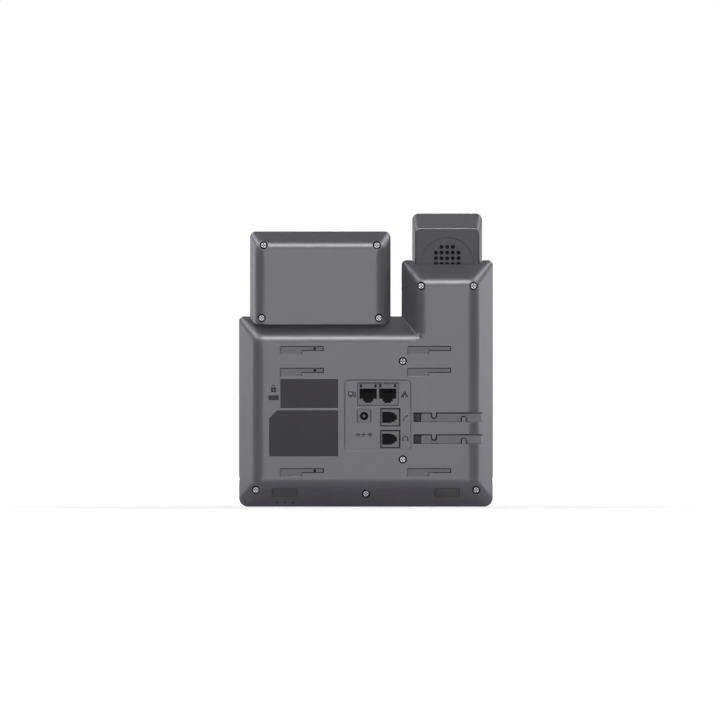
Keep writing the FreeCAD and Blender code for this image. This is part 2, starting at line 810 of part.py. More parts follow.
def make_rear_housing():
    """Back shell: bevelled rim, stand slots, label places, port panel, cord channels and screw wells."""
    rim = base_outline("0", "0", "top_corner", "foot_corner", "inner_corner")
    flat = base_outline("bevel_side", "bevel_end", "back_corner", "back_corner", "inner_corner")
    form = bevelled_body("RearForm", rim, "bevel_depth", flat, "0", PARTING)
    body_fillet(form, "back_edge", on_back)

    drawn_in = "1 - wall / bevel_depth"
    inner_rim = base_outline("wall", "wall", "cavity_corner", "cavity_corner", "cavity_corner")
    inner_flat = base_outline(f"wall + bevel_side * ({drawn_in})", f"wall + bevel_end * ({drawn_in})",
                              "cavity_corner", "cavity_corner", "cavity_corner")
    cavity = bevelled_body("RearCavity", inner_rim, "bevel_depth", inner_flat, "wall", f"{PARTING} + overrun")

    kept = []
    removed = [
        plate(f"{RIGHT} - lock_inset", "lock_z", "lock_width", "lock_height", "lock_corner",
              "-overrun", "wall + overrun"),
        prism(rectangle("panel_left", "panel_right", "panel_low", "panel_high", "panel_corner"),
              "-overrun", "panel_recess"),
    ]
    for left in ("slot_right", "slot_left"):
        for top in ("slot_upper", "slot_middle", "slot_lower"):
            kept.append(block(f"{left} - wall", f"{left} + slot_length + wall", f"{top} - slot_width - wall",
                              f"{top} + wall", "0", "slot_depth + wall"))
            removed.append(stand_slot(left, top))
    for z in ("handset_jack_z", "headset_jack_z"):
        kept.append(block(LEFT, "channel_start + wall", f"{z} - channel_width / 2 - wall",
                          f"{z} + channel_width / 2 + wall", "0", "channel_depth + channel_pit + wall"))
        removed.append(cord_channel(z))
        removed.append(plate("modular_x", z, "modular_width + 2 * fit_gap", "modular_height + 2 * fit_gap",
                             "fit_gap", "0", "wall + overrun"))
    for x, z, seat, meet in HOUSING_SCREWS:
        kept.append(disc(SCREW_TUBE, x, z, "0", f"{meet} - seat_gap"))
        removed.append(disc(COUNTERBORE, x, z, "-overrun", seat))
        removed.append(disc("screw_shank + shank_clearance", x, z, "0", meet))
    for x, z in MAIN_POSTS:
        kept.append(disc("post_radius", x, z, "0", "main_board_depth"))
        removed.append(disc("board_screw + pin_gap", x, z,
                            "main_board_depth + board_thickness - board_screw_length - overrun",
                            "main_board_depth + overrun"))
    removed.append(plate("network_x", "network_z", f"{NETWORK_WIDTH} + 2 * fit_gap",
                         "network_height + 2 * fit_gap", "fit_gap", "0", "wall + overrun"))
    removed.append(plate("power_x", "power_z", f"{POWER_SIDE} + 2 * fit_gap", f"{POWER_SIDE} + 2 * fit_gap",
                         "fit_gap", "0", "wall + overrun"))
    for outline in label_outlines():
        removed.append(prism(outline, "-overrun", "label_recess"))
    for x in (FOOT, f"-{FOOT}"):
        removed.append(foot_pad(x, "fit_gap"))
    for step in (-1, 0, 1):
        hole = doc.addObject("Part::Cylinder", "SoundHole")
        bind(hole, Radius="hole_radius", Height="2 * wall + overrun")
        removed.append(on_bevel(hole, f"{FOOT} + ({step}) * hole_spacing", "hole_start", "-overrun"))
    notch_reach = "(handset_width + notch_spread) / 2 + wall"
    kept.append(block(f"{CRADLE} - ({notch_reach})", f"{CRADLE} + {notch_reach}",
                      "tower_height - notch_drop - wall", "tower_height", "0", PARTING))
    removed.append(tower_notch("-overrun", f"{PARTING} + overrun"))
    sub_part("rear_housing", cut(form, cut(cavity, *kept), *removed))


def tower_notch(start, end):
    """Notch in the tower's top edge that the handset's earpiece lies in."""
    floor = "tower_height - notch_drop"
    top = "tower_height + overrun"
    wide = "(handset_width + notch_spread) / 2"
    narrow = f"{wide} - notch_slope"
    corners = [(f"{CRADLE} + {narrow}", floor, "0"), (f"{CRADLE} + {wide}", top, "0"),
               (f"{CRADLE} - {wide}", top, "0"), (f"{CRADLE} - ({narrow})", floor, "0")]
    return prism(corners, start, end)


def make_connectors():
    """Connector blocks that stand on the main board and show in the port panel."""
    network = plate("network_x", "network_z", NETWORK_WIDTH, "network_height", "fit_gap",
                    "jack_recess", "main_board_depth")
    openings = []
    for side in (-1, 1):
        middle = f"network_x + ({side}) * network_pitch / 2"
        openings.append(network_opening(middle, "0", "jack_recess + jack_bore"))
        for edge in (-1, 1):
            centre = f"{middle} + ({edge}) * lamp_offset"
            openings.append(block(f"{centre} - lamp_width / 2", f"{centre} + lamp_width / 2",
                                  "lamp_low", "lamp_high", "0", "jack_recess + lamp_sink"))
    sub_part("network_jacks", cut(network, *openings))

    jacks = []
    for z in ("handset_jack_z", "headset_jack_z"):
        jack = plate("modular_x", z, "modular_width", "modular_height", "fit_gap",
                     "jack_recess", "main_board_depth")
        jacks.append(cut(jack, modular_opening(z, "0", "jack_recess + jack_bore")))
    sub_part("modular_jacks", group(*jacks))

    inlet = plate("power_x", "power_z", POWER_SIDE, POWER_SIDE, "fit_gap",
                  "jack_recess", "main_board_depth")
    bore = disc("power_bore", "power_x", "power_z", "0", "jack_recess + jack_bore")
    pin = disc("power_pin", "power_x", "power_z", "2 * jack_recess", "main_board_depth - overrun")
    sub_part("power_jack", join(cut(inlet, bore), pin))


def screw(x, z, seat, length):
    """Cross-head screw driven in from the back, with the seat under its head at a depth."""
    top = f"{seat} - screw_head_height"
    head = disc("screw_head", x, z, top, seat)
    shank = disc("screw_shank", x, z, top, f"{seat} + ({length})")
    arm = "screw_cross_length / 2"
    half = "screw_cross / 2"
    depths = (f"{top} - overrun", f"{top} + screw_cross_depth")
    return cut(join(head, shank),
               block(f"{x} - {arm}", f"{x} + {arm}", f"{z} - {half}", f"{z} + {half}", *depths),
               block(f"{x} - {half}", f"{x} + {half}", f"{z} - {arm}", f"{z} + {arm}", *depths))


def make_fasteners():
    """Screws of the housing, of the two boards in the base and of the display."""
    sub_part("housing_screws", group(*[screw(x, z, seat, "screw_length")
                                       for x, z, seat, _ in HOUSING_SCREWS]))
    sub_part("display_screws", group(*[screw(x, z, "display_screw_seat", length)
                                       for x, z, length in DISPLAY_SCREWS]))
    board_front = "main_board_depth + board_thickness"
    screws = []
    for x, z in MAIN_POSTS:
        screws.append(join(
            disc("board_screw_head", x, z, board_front, f"{board_front} + board_screw_head_height"),
            disc("board_screw", x, z, f"{board_front} - board_screw_length",
                 f"{board_front} + board_screw_head_height")))
    keypad_back = f"{KEYPAD_BACK} - board_thickness"
    for x, z in KEYPAD_POSTS:
        screws.append(join(
            disc("board_screw_head", x, z, f"{keypad_back} - board_screw_head_height", keypad_back),
            disc("board_screw", x, z, f"{keypad_back} - board_screw_head_height",
                 f"{keypad_back} + board_screw_length")))
    sub_part("board_screws", group(*screws))


def make_feet_and_labels():
    """Rubber pads on the lower bevel and bare plates in the label places."""
    sub_part("rubber_feet", group(foot_pad(FOOT, "0"), foot_pad(f"-{FOOT}", "0")))
    start = "label_recess - label_thickness"
    sub_part("blank_labels", group(*[prism(outline, start, "label_recess") for outline in label_outlines()]))


def make_boards():
    """Main board that carries the connectors, and the keypad's board with its rubber mat."""
    back = "main_board_depth"
    front = f"{back} + board_thickness"
    right, left, tongue = f"{RIGHT} - board_margin", f"{TOWER} + board_step", "panel_left + tongue_inset"
    top = "shoulder_height - board_drop"
    outline = [(right, "main_board_low", "0"), (right, top, "0"), (left, top, "0"),
               (left, "tongue_high", "0"), (tongue, "tongue_high", "0"), (tongue, "tongue_low", "0"),
               (left, "tongue_low", "0"), (left, "main_board_low", "0")]
    board = join(
        prism(outline, back, front),
        plate("chip_x", "chip_z", "chip_side", "chip_side", "0", front, f"{front} + chip_height"),
        plate(f"{left} + transformer_inset", "transformer_z", "transformer_width", "transformer_height", "0",
              f"{back} - transformer_depth", back))
    holes = [disc("board_screw + pin_gap", x, z, f"{back} - overrun", f"{front} + overrun")
             for x, z in MAIN_POSTS]
    sub_part("main_board", cut(board, *holes))

    width = (KEYPAD_WIDTH, f"{KEYPAD_HIGH} - keypad_board_low")
    middle = (DESK, f"(keypad_board_low + {KEYPAD_HIGH}) / 2")
    board_back = f"{KEYPAD_BACK} - board_thickness"
    mat_front = f"{KEYPAD_BACK} + mat_thickness"
    keypad = plate(*middle, *width, "key_corner", board_back, KEYPAD_BACK)
    mat = plate(*middle, *width, "key_corner", KEYPAD_BACK, mat_front)
    sub_part("keypad_board", cut(keypad, *[
        disc("board_screw + pin_gap", x, z, f"{board_back} - overrun", f"{KEYPAD_BACK} + overrun")
        for x, z in KEYPAD_POSTS]))
    sub_part("key_mat", cut(mat, *[
        disc("post_radius + fit_gap", x, z, f"{KEYPAD_BACK} - overrun", f"{mat_front} + overrun")
        for x, z in KEYPAD_POSTS]))


def make_sound_pieces():
    """Loudspeaker behind the cradle's grille, and the microphone behind the holes of the lower bevel."""
    front = f"{TROUGH_FLOOR} - wall - seat_gap"
    rim = disc("speaker_radius", CRADLE, SPEAKER_Z, f"{front} - speaker_rim", front)
    magnet = disc("magnet_radius", CRADLE, SPEAKER_Z, f"{front} - speaker_depth", front)
    sub_part("loudspeaker", join(rim, magnet))
    capsule = disc("capsule_radius", FOOT, "capsule_z", "capsule_back", "capsule_front")
    sub_part("handsfree_microphone", capsule)


def key_hole(x, z, width, height, corner, face, skin):
    """Opening in a skin that a key moves in."""
    return plate(x, z, f"{width} + 2 * fit_gap", f"{height} + 2 * fit_gap", corner,
                 f"{face} - {skin} - overrun", f"{face} + overrun")


def push_key(label, x, z, width, height, corner, face, skin):
    """Cap that stands proud of a face, with a flange that stops it behind the skin."""
    seat = f"{face} - {skin} - fit_gap"
    cap = plate(x, z, width, height, corner, seat, f"{face} + key_proud")
    cap = round_edges(cap, "key_edge", on_front)
    flange = plate(x, z, f"{width} + 2 * key_lip", f"{height} + 2 * key_lip", corner,
                   f"{seat} - key_flange", seat)
    sub_part(label, join(cap, flange))


def make_keys():
    """Push keys of the base and of the display, the ring of arrow keys and the volume rocker."""
    for label, place in BASE_KEYS.items():
        push_key(label, *place, "key_corner", "base_depth", "front_skin")
    for label, place in DISPLAY_KEYS.items():
        push_key(label, *place, "small_corner", "display_front", "display_skin")

    seat = f"{SKIN_BACK} - fit_gap"
    top = "base_depth + key_proud"
    flange_back = f"{seat} - key_flange"
    for label, (across, up) in NAV_KEYS.items():
        ring = join(disc("nav_radius", DESK, NAV_Z, seat, top),
                    disc("nav_radius + key_lip", DESK, NAV_Z, flange_back, seat))
        ring = cut(ring, disc("nav_inner", DESK, NAV_Z, f"{flange_back} - overrun", f"{top} + overrun"))
        ring = round_edges(ring, "key_edge", on_front)
        wedge = prism(nav_wedge(across, up), f"{flange_back} - overrun", f"{top} + overrun")
        sub_part(label, overlap(ring, wedge))
    button = disc("ok_radius", DESK, NAV_Z, flange_back, top)
    sub_part("ok_key", round_edges(button, "key_edge", on_front))

    x = f"{DESK} - digit_column / 2"
    back = "base_depth - rocker_back"
    cap = plate(x, "bottom_row", "digit_column + digit_width", "rocker_height", "key_corner", back, top)
    cap = round_edges(cap, "key_edge", on_front)
    lug = plate(x, "bottom_row", "rocker_lug", "rocker_height + 2 * (key_lip + rocker_gap)", "0",
                back, f"{SKIN_BACK} - 2 * fit_gap")
    rib = doc.addObject("Part::Cylinder", "PivotRib")
    bind(rib, Radius="rocker_rib", Height="rocker_height", Placement_Base_x=x,
         Placement_Base_y=f"{BACK} - ({back})", Placement_Base_z="bottom_row - rocker_height / 2")
    sub_part("volume_rocker", join(cap, lug, rib))


def nav_wedge(across, up):
    """Quarter of a plane about one arrow's direction, drawn back from its neighbours by a slit."""
    reach = "2 * nav_radius"
    tip = (f"{DESK} + ({across}) * nav_slit", f"{NAV_Z} + ({up}) * nav_slit")
    sides = []
    for turn in (1, -1):
        step = (across + turn * up, up - turn * across)
        sides.append((f"{tip[0]} + ({step[0]}) * {reach}", f"{tip[1]} + ({step[1]}) * {reach}", "0"))
    return [(tip[0], tip[1], "0"), sides[0], sides[1]]


def hinge_lug(side):
    """Knuckle on the shoulder that carries one of the display's pins."""
    middle = f"{DESK} + ({side}) * lug_offset"
    low, high = f"{middle} - lug_width / 2", f"{middle} + lug_width / 2"
    knuckle = rod("barrel_radius", "barrel_depth", HINGE_Z, low, high)
    web = block(low, high, "shoulder_height - wall", HINGE_Z,
                "barrel_depth - lug_web / 2 + fit_gap", "barrel_depth + lug_web / 2 + fit_gap")
    return join(knuckle, web)


def make_front_housing():
    """Front shell: key openings, handset cradle with its two wells, grille, bosses and hinge lugs."""
    outline = base_outline("0", "0", "top_corner", "foot_corner", "inner_corner")
    form = round_edges(prism(outline, PARTING, "base_depth"), "front_edge", on_front)
    inside = base_outline("wall", "wall", "cavity_corner", "cavity_corner", "cavity_corner")
    shell = cut(form, prism(inside, f"{PARTING} - overrun", SKIN_BACK))

    half = f"{CRADLE_WIDTH} / 2"
    left, right = f"{CRADLE} - {half}", f"{CRADLE} + {half}"
    tub_top = "tower_height - wall / 2"
    added = [
        block(f"{left} - wall", f"{right} + wall", "mouth_well_low - wall", "mouth_well_high + wall",
              f"{WELL_FLOOR} - wall", "base_depth - wall / 2"),
        block(f"{left} - wall", f"{right} + wall", "mouth_well_high", EAR_WELL_LOW,
              f"{TROUGH_FLOOR} - wall", "base_depth - wall / 2"),
        block(f"{left} - wall", f"{right} + wall", f"{EAR_WELL_LOW} - wall", tub_top,
              f"{WELL_FLOOR} - wall", "base_depth - wall / 2"),
    ]
    above = "base_depth + overrun"
    removed = [
        prism(rectangle(left, right, "mouth_well_low", "mouth_well_high", "cradle_corner"),
              WELL_FLOOR, above),
        block(left, right, "mouth_well_high - cradle_corner", f"{EAR_WELL_LOW} + cradle_corner",
              TROUGH_FLOOR, above),
        prism(rectangle(left, right, EAR_WELL_LOW, "tower_height + 2 * cradle_corner", "cradle_corner"),
              WELL_FLOOR, above),
        tower_notch(f"{PARTING} - overrun", above),
        plate(CRADLE, "plunger_z", "plunger_width + 2 * fit_gap", "plunger_height + 2 * fit_gap",
              "plunger_corner", f"{WELL_FLOOR} - wall - overrun", above),
        plate(CRADLE, HOOK_Z, "hook_width + 2 * fit_gap", "hook_height + 2 * fit_gap", "0",
              f"{TROUGH_FLOOR} - wall - overrun", above),
        disc("nav_radius + fit_gap", DESK, NAV_Z, f"{SKIN_BACK} - overrun", above),
        plate(f"{DESK} - digit_column / 2", "bottom_row", "digit_column + digit_width + 2 * rocker_gap",
              "rocker_height + 2 * rocker_gap", "key_corner", f"{SKIN_BACK} - overrun", above),
    ]
    for x, z, seat, meet in HOUSING_SCREWS:
        added.append(disc(SCREW_BOSS, x, z, meet, "base_depth - wall / 2"))
        removed.append(disc("screw_shank + pin_gap", x, z, f"{meet} - overrun",
                            f"{seat} + screw_length + overrun"))
    for x, z in KEYPAD_POSTS:
        added.append(disc("post_radius", x, z, KEYPAD_BACK, "base_depth - front_skin / 2"))
        removed.append(disc("board_screw + pin_gap", x, z, f"{KEYPAD_BACK} - overrun",
                            f"{KEYPAD_BACK} + board_screw_length - board_thickness + seat_gap"))
    for index in range(int(SIZES["grille_slots"])):
        z = f"{SPEAKER_Z} + ({index} - (grille_slots - 1) / 2) * grille_pitch"
        removed.append(plate(CRADLE, z, "grille_length", "grille_width", "(grille_width - slot_end_flat) / 2",
                             f"{TROUGH_FLOOR} - wall - overrun", above))
    for place in BASE_KEYS.values():
        removed.append(key_hole(*place, "key_corner", "base_depth", "front_skin"))
    for side in (-1, 1):
        added.append(hinge_lug(side))
        middle = f"{DESK} + ({side}) * lug_offset"
        removed.append(rod("pin_radius + pin_gap", "barrel_depth", HINGE_Z,
                           f"{middle} - lug_width", f"{middle} + lug_width"))
    sub_part("front_housing", cut(join(shell, *added), *removed))


def make_hook_pieces():
    """Tab that hangs the handset on a wall, and the plunger that senses the handset."""
    floor_back = f"{TROUGH_FLOOR} - wall"
    tab = plate(CRADLE, HOOK_Z, "hook_width", "hook_height", "0", floor_back, TROUGH_FLOOR)
    lip = block(f"{CRADLE} - hook_width / 2", f"{CRADLE} + hook_width / 2",
                f"{HOOK_Z} + hook_height / 2 - hook_lip_height", f"{HOOK_Z} + hook_height / 2",
                floor_back, f"{TROUGH_FLOOR} + hook_lip")
    sub_part("hook_tab", join(tab, lip))

    tip = f"{CAP_FACE} - plunger_tip_gap"
    flange_front = f"{WELL_FLOOR} - wall - fit_gap - plunger_travel"
    stem = plate(CRADLE, "plunger_z", "plunger_width", "plunger_height", "plunger_corner", flange_front, tip)
    flange = plate(CRADLE, "plunger_z", "plunger_width + 2 * plunger_lip", "plunger_height + 2 * plunger_lip",
                   "plunger_corner", f"{flange_front} - plunger_flange", flange_front)
    sub_part("hook_plunger", join(stem, flange))


def display_sides(inset):
    """Left and right edges of the display, drawn in by an inset."""
    return (f"{DESK} - {DISPLAY_WIDTH} / 2 + ({inset})", f"{DESK} + {DISPLAY_WIDTH} / 2 - ({inset})")


def lip_relief():
    """Space under the display that keeps it off the base's upper bevel and shoulder."""
    floor = "shoulder_height + lip_gap"
    foot = "0"
    far = "2 * display_front"
    points = [(far, foot), (far, floor), ("bevel_depth", floor), ("0", f"{floor} - bevel_end"), ("0", foot)]
    left, right = display_sides("-overrun")
    return side_prism(points, left, right)


def make_display_rear_cover():
    """Back shell of the display, bevelled at its top and sides, with a lip over the base's bevel."""
    below = f"{DISPLAY_LOW} - 2 * display_edge"
    left, right = display_sides("0")
    rim = gate(left, right, below, DISPLAY_HIGH, "display_corner")
    in_left, in_right = display_sides("display_side_bevel")
    flat = gate(in_left, in_right, below, f"{DISPLAY_HIGH} - display_top_bevel", "display_back_corner")
    form = bevelled_body("DisplayForm", rim, "display_rim", flat, "display_back", "display_parting")
    body_fillet(form, "display_edge", lambda edge, shape: on_back(edge, shape) and above_foot(edge, shape))
    bounds = [(right, DISPLAY_LOW, "display_foot_corner"), (right, DISPLAY_HIGH, "display_corner"),
              (left, DISPLAY_HIGH, "display_corner"), (left, DISPLAY_LOW, "display_foot_corner")]
    trimmed = overlap(form, prism(bounds, "0", "display_parting"))

    wall_left, wall_right = display_sides("wall")
    rim_inside = rectangle(wall_left, wall_right, DISPLAY_CAVITY, f"{DISPLAY_HIGH} - wall", "cavity_corner")
    flat_left, flat_right = display_sides("wall + display_side_bevel")
    flat_inside = rectangle(flat_left, flat_right, DISPLAY_CAVITY,
                            f"{DISPLAY_HIGH} - display_top_bevel - wall", "cavity_corner")
    cavity = bevelled_body("DisplayCavity", rim_inside, "display_rim", flat_inside, "display_back + wall",
                           "display_parting + overrun")
    board_back = f"{DISPLAY_BOARD} - board_thickness"
    kept = []
    removed = [lip_relief()]
    for x, z, length in DISPLAY_SCREWS:
        kept.append(disc(SCREW_TUBE, x, z, "display_back", "display_meet - seat_gap"))
        removed.append(disc(COUNTERBORE, x, z, "0", "display_screw_seat"))
        removed.append(disc("screw_shank + pin_gap", x, z, "0", f"display_screw_seat + {length} + seat_gap"))
    for side in (-1, 1):
        for z in (f"{LENS_LOW} + display_post_inset", f"{LENS_HIGH} - display_post_inset"):
            kept.append(disc("display_post_radius", f"{DESK} + ({side}) * {DISPLAY_POST}", z,
                             "display_back", board_back))
    sub_part("display_rear_cover", cut(trimmed, cut(cavity, *kept), *removed))


def make_display_bezel():
    """Front frame of the display with its window, key openings and the hinge's barrel."""
    left, right = display_sides("0")
    outline = gate(left, right, HINGE_Z, DISPLAY_HIGH, "display_corner")
    form = round_edges(prism(outline, "display_parting", "display_front"), "display_front_edge",
                       lambda edge, shape: on_front(edge, shape) and above_foot(edge, shape))
    in_left, in_right = display_sides("wall")
    inside = rectangle(in_left, in_right, DISPLAY_CAVITY, f"{DISPLAY_HIGH} - wall", "cavity_corner")
    shell = cut(form, prism(inside, "display_parting - overrun", "display_front - display_skin"))
    added = [rod("barrel_radius", "barrel_depth", HINGE_Z, left, right)]
    front = "display_front + overrun"
    skin_back = "display_front - display_skin - overrun"
    lens_middle = f"{LENS_LOW} + lens_height / 2"
    removed = [
        plate(DESK, lens_middle, f"{LENS_WIDTH} + 2 * seat_gap", "lens_height + 2 * seat_gap", "lens_corner",
              "display_front - lens_thickness", front),
        plate(DESK, lens_middle, f"{LENS_WIDTH} - 2 * lens_frame", "lens_height - 2 * lens_frame",
              "small_corner", skin_back, front),
        plate(f"{DESK} + {LINE_KEY}", LAMP_Z, "lamp_bar_width + 2 * seat_gap",
              "lamp_bar_height + 2 * seat_gap", "small_corner", skin_back, front),
    ]
    for place in DISPLAY_KEYS.values():
        removed.append(key_hole(*place, "small_corner", "display_front", "display_skin"))
    for x, z, length in DISPLAY_SCREWS[:2]:
        added.append(disc(SCREW_BOSS, x, z, "display_meet", "display_front - display_skin / 2"))
        removed.append(disc("screw_shank + pin_gap", x, z, "display_meet - overrun",
                            f"display_screw_seat + {length} + seat_gap"))
    for side in (-1, 1):
        middle = f"{DESK} + ({side}) * lug_offset"
        low, high = f"{middle} - lug_width / 2 - fit_gap", f"{middle} + lug_width / 2 + fit_gap"
        removed.append(rod("barrel_radius + fit_gap", "barrel_depth", HINGE_Z, low, high))
        removed.append(rod("pin_radius + pin_gap", "barrel_depth", HINGE_Z,
                           f"{middle} - pin_length / 2 - seat_gap", f"{middle} + pin_length / 2 + seat_gap"))
    sub_part("display_bezel", cut(join(shell, *added), *removed))


def make_display_inside():
    """Window, screen, board, lamp and hinge pins of the display."""
    middle = f"{LENS_LOW} + lens_height / 2"
    sub_part("display_lens", plate(DESK, middle, LENS_WIDTH, "lens_height", "lens_corner",
                                   "display_front - lens_thickness", "display_front"))
    screen_front = "display_front - display_skin - seat_gap"
    sub_part("lcd_panel", plate(DESK, middle, LENS_WIDTH, "lens_height", "0", DISPLAY_BOARD, screen_front))
    board = plate(DESK, middle, f"{LENS_WIDTH} - 2 * display_board_inset", "lens_height", "small_corner",
                  f"{DISPLAY_BOARD} - board_thickness", DISPLAY_BOARD)
    sub_part("display_board", board)
    bar = plate(f"{DESK} + {LINE_KEY}", LAMP_Z, "lamp_bar_width", "lamp_bar_height", "small_corner",
                "display_front - lamp_bar_length", "display_front + lamp_bar_proud")
    sub_part("message_lamp", bar)
    pins = []
    for side in (-1, 1):
        x = f"{DESK} + ({side}) * lug_offset"
        ends = (f"{x} - pin_length / 2", f"{x} + pin_length / 2")
        pins.append(rod("pin_radius", "barrel_depth", HINGE_Z, *ends))
    sub_part("hinge_pins", group(*pins))


def handset_outline(inset):
    """Plan of the handset: straight ends and a slightly drawn-in grip."""
    half = f"handset_width / 2 - ({inset})"
    grip = f"{half} - handset_waist"
    corner = f"handset_corner - ({inset}) / 2"
    low, high = f"{HANDSET_LOW} + ({inset})", f"{HANDSET_HIGH} - ({inset})"
    right = [(f"{CRADLE} + {half}", low, corner), (f"{CRADLE} + {half}", "waist_low - waist_run", "0"),
             (f"{CRADLE} + {grip}", "waist_low", "0"), (f"{CRADLE} + {grip}", "waist_high", "0"),
             (f"{CRADLE} + {half}", "waist_high + waist_run", "0"), (f"{CRADLE} + {half}", high, corner)]
    left = [(mirrored(x), z, radius) for x, z, radius in reversed(right)]
    return right + left


def mirrored(x):
    """The same place on the other side of the handset's middle."""
    return f"2 * {CRADLE} - ({x})"


def cap_body(name, face, base, inset):
    """Ruled cap from a small face to a wider base; each is (low, high) and is drawn in by inset."""
    half_face = f"{CAP_HALF} - ({inset})"
    half_base = f"handset_width / 2 - ({inset})"
    face_outline = rectangle(f"{CRADLE} - ({half_face})", f"{CRADLE} + {half_face}",
                             f"{face[0]} + ({inset})", f"{face[1]} - ({inset})",
                             f"cap_corner - ({inset}) / 2")
    base_outline_low = rectangle(f"{CRADLE} - ({half_base})", f"{CRADLE} + {half_base}",
                                 f"{base[0]} + ({inset})", f"{base[1]} - ({inset})",
                                 f"handset_corner - ({inset}) / 2")
    return bevelled_body(name, base_outline_low, CAP_BASE, face_outline, f"{CAP_FACE} + ({inset})",
                         f"{CAP_BASE} + handle_thickness / 2")


EAR = ((f"{EAR_WELL_LOW} + ear_face_rise", f"{HANDSET_HIGH} - ear_face_drop"), (EAR_WELL_LOW, HANDSET_HIGH))
MOUTH = ((f"{HANDSET_LOW} + mouth_face_rise", f"{MOUTH_BASE_HIGH} - mouth_face_drop"),
         (HANDSET_LOW, MOUTH_BASE_HIGH))


def make_handset_inner_shell():
    """Inner half of the handset: earpiece cap, mouthpiece cap and the plate of the grip."""
    ear = body_fillet(cap_body("EarCap", *EAR, "0"), "cap_edge", on_back)
    mouth = body_fillet(cap_body("MouthCap", *MOUTH, "0"), "cap_edge", on_back)
    grip = prism(handset_outline("0"), CAP_BASE, HANDSET_PARTING)
    grip_hollow = prism(handset_outline("handset_wall"), f"{CAP_BASE} + handset_wall",
                        f"{HANDSET_PARTING} + overrun")
    hollow = [cap_body("EarHollow", *EAR, "handset_wall"), cap_body("MouthHollow", *MOUTH, "handset_wall"),
              grip_hollow]
    inside = f"{CAP_FACE} + handset_wall + overrun"
    openings = [disc(EAR_DISH, CRADLE, EAR_Z, f"{CAP_FACE} - overrun", f"{CAP_FACE} + ear_dish_sink")]
    for up in range(-3, 4):
        for across in range(-2, 3):
            if abs(up) == 3 and abs(across) == 2:
                continue
            openings.append(disc("ear_hole", f"{CRADLE} + ({across}) * ear_pitch",
                                 f"{EAR_Z} + ({up}) * ear_pitch", CAP_FACE, inside))
    for step in (-1, 0, 1):
        openings.append(plate(CRADLE, f"mouth_z + ({step}) * mouth_slot_pitch", "mouth_slot_length",
                              "mouth_slot_width", "(mouth_slot_width - slot_end_flat) / 2",
                              f"{CAP_FACE} - overrun", inside))
    sub_part("handset_inner_shell", cut(join(ear, mouth, grip), *hollow, *openings))


def make_handset_outer_shell():
    """Outer half of the handset: crowned along its length and rounded all round."""
    slab = prism(handset_outline("0"), HANDSET_PARTING, f"{HANDSET_TOP} + overrun")
    length = f"({HANDSET_HIGH} - {HANDSET_LOW})"
    radius = f"({length} ^ 2 / (8 * handset_crown) + handset_crown / 2)"
    crown = rod(radius, f"{HANDSET_TOP} - {radius}", f"({HANDSET_HIGH} + {HANDSET_LOW}) / 2",
                f"{CRADLE} - handset_width", f"{CRADLE} + handset_width")
    form = overlap(slab, crown)
    form = round_edges(form, "handset_edge", crowned_rim)
    hollow = prism(handset_outline("handset_edge / 2"), f"{HANDSET_PARTING} - overrun",
                   f"{HANDSET_TOP} - handset_crown - handset_wall - overrun")
    sub_part("handset_outer_shell", cut(form, hollow))


def crowned_rim(edge, shape):
    """True for an edge round the crowned face, which lies above the parting and isn't upright."""
    box = edge.BoundBox
    flat = box.YLength < max(box.XLength, box.ZLength)
    return flat and box.YMax < shape.BoundBox.YMax - 0.5


def make_handset_inside():
    """Receiver, microphone and balance weight inside the handset."""
    seat = f"{CAP_FACE} + handset_wall + seat_gap"
    receiver = disc(f"{EAR_DISH} - receiver_inset", CRADLE, EAR_Z, seat, f"{seat} + receiver_depth")
    sub_part("receiver_capsule", receiver)
    sub_part("handset_microphone", disc("microphone_radius", CRADLE, "mouth_z", seat,
                                        f"{seat} + microphone_depth"))
    front = f"{HANDSET_TOP} - handset_crown - handset_wall - overrun - seat_gap"
    middle = f"({HANDSET_LOW} + {HANDSET_HIGH}) / 2"
    sub_part("handset_weight", plate(CRADLE, middle, "weight_width", "weight_length", "small_corner",
                                     f"{front} - weight_depth", front))


make_rear_housing()
make_connectors()
make_fasteners()
make_feet_and_labels()
make_boards()
make_sound_pieces()
make_keys()
make_front_housing()
make_hook_pieces()
make_display_rear_cover()
make_display_bezel()
make_display_inside()
make_handset_inner_shell()
make_handset_outer_shell()
make_handset_inside()
doc.recompute()

failed = [thing.Label for thing in doc.Objects if {"Invalid", "Error"} & set(thing.State)]
if failed:
    raise RuntimeError(f"these objects failed: {failed}")
for piece in SUB_PARTS:
    if piece.Shape.isNull() or not piece.Shape.isValid() or not piece.Shape.Solids:
        raise RuntimeError(f"{piece.Label} has no valid solid")

os.makedirs("parts", exist_ok=True)
for piece in SUB_PARTS:
    piece.Shape.exportStep(f"parts/{piece.Label}.step")
    print(piece.Label, len(piece.Shape.Solids), round(piece.Shape.Volume))
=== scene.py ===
# %% [markdown]
# # A desk telephone seen from behind
#
# The solid pieces of this telephone were drawn in a CAD program. They come ready made, each one where
# it belongs and in metres. This lesson gives every piece its finish, adds the thin things that are
# printed or pressed on it, and sets up a plain studio round it.

# %% Load the solid pieces
import json

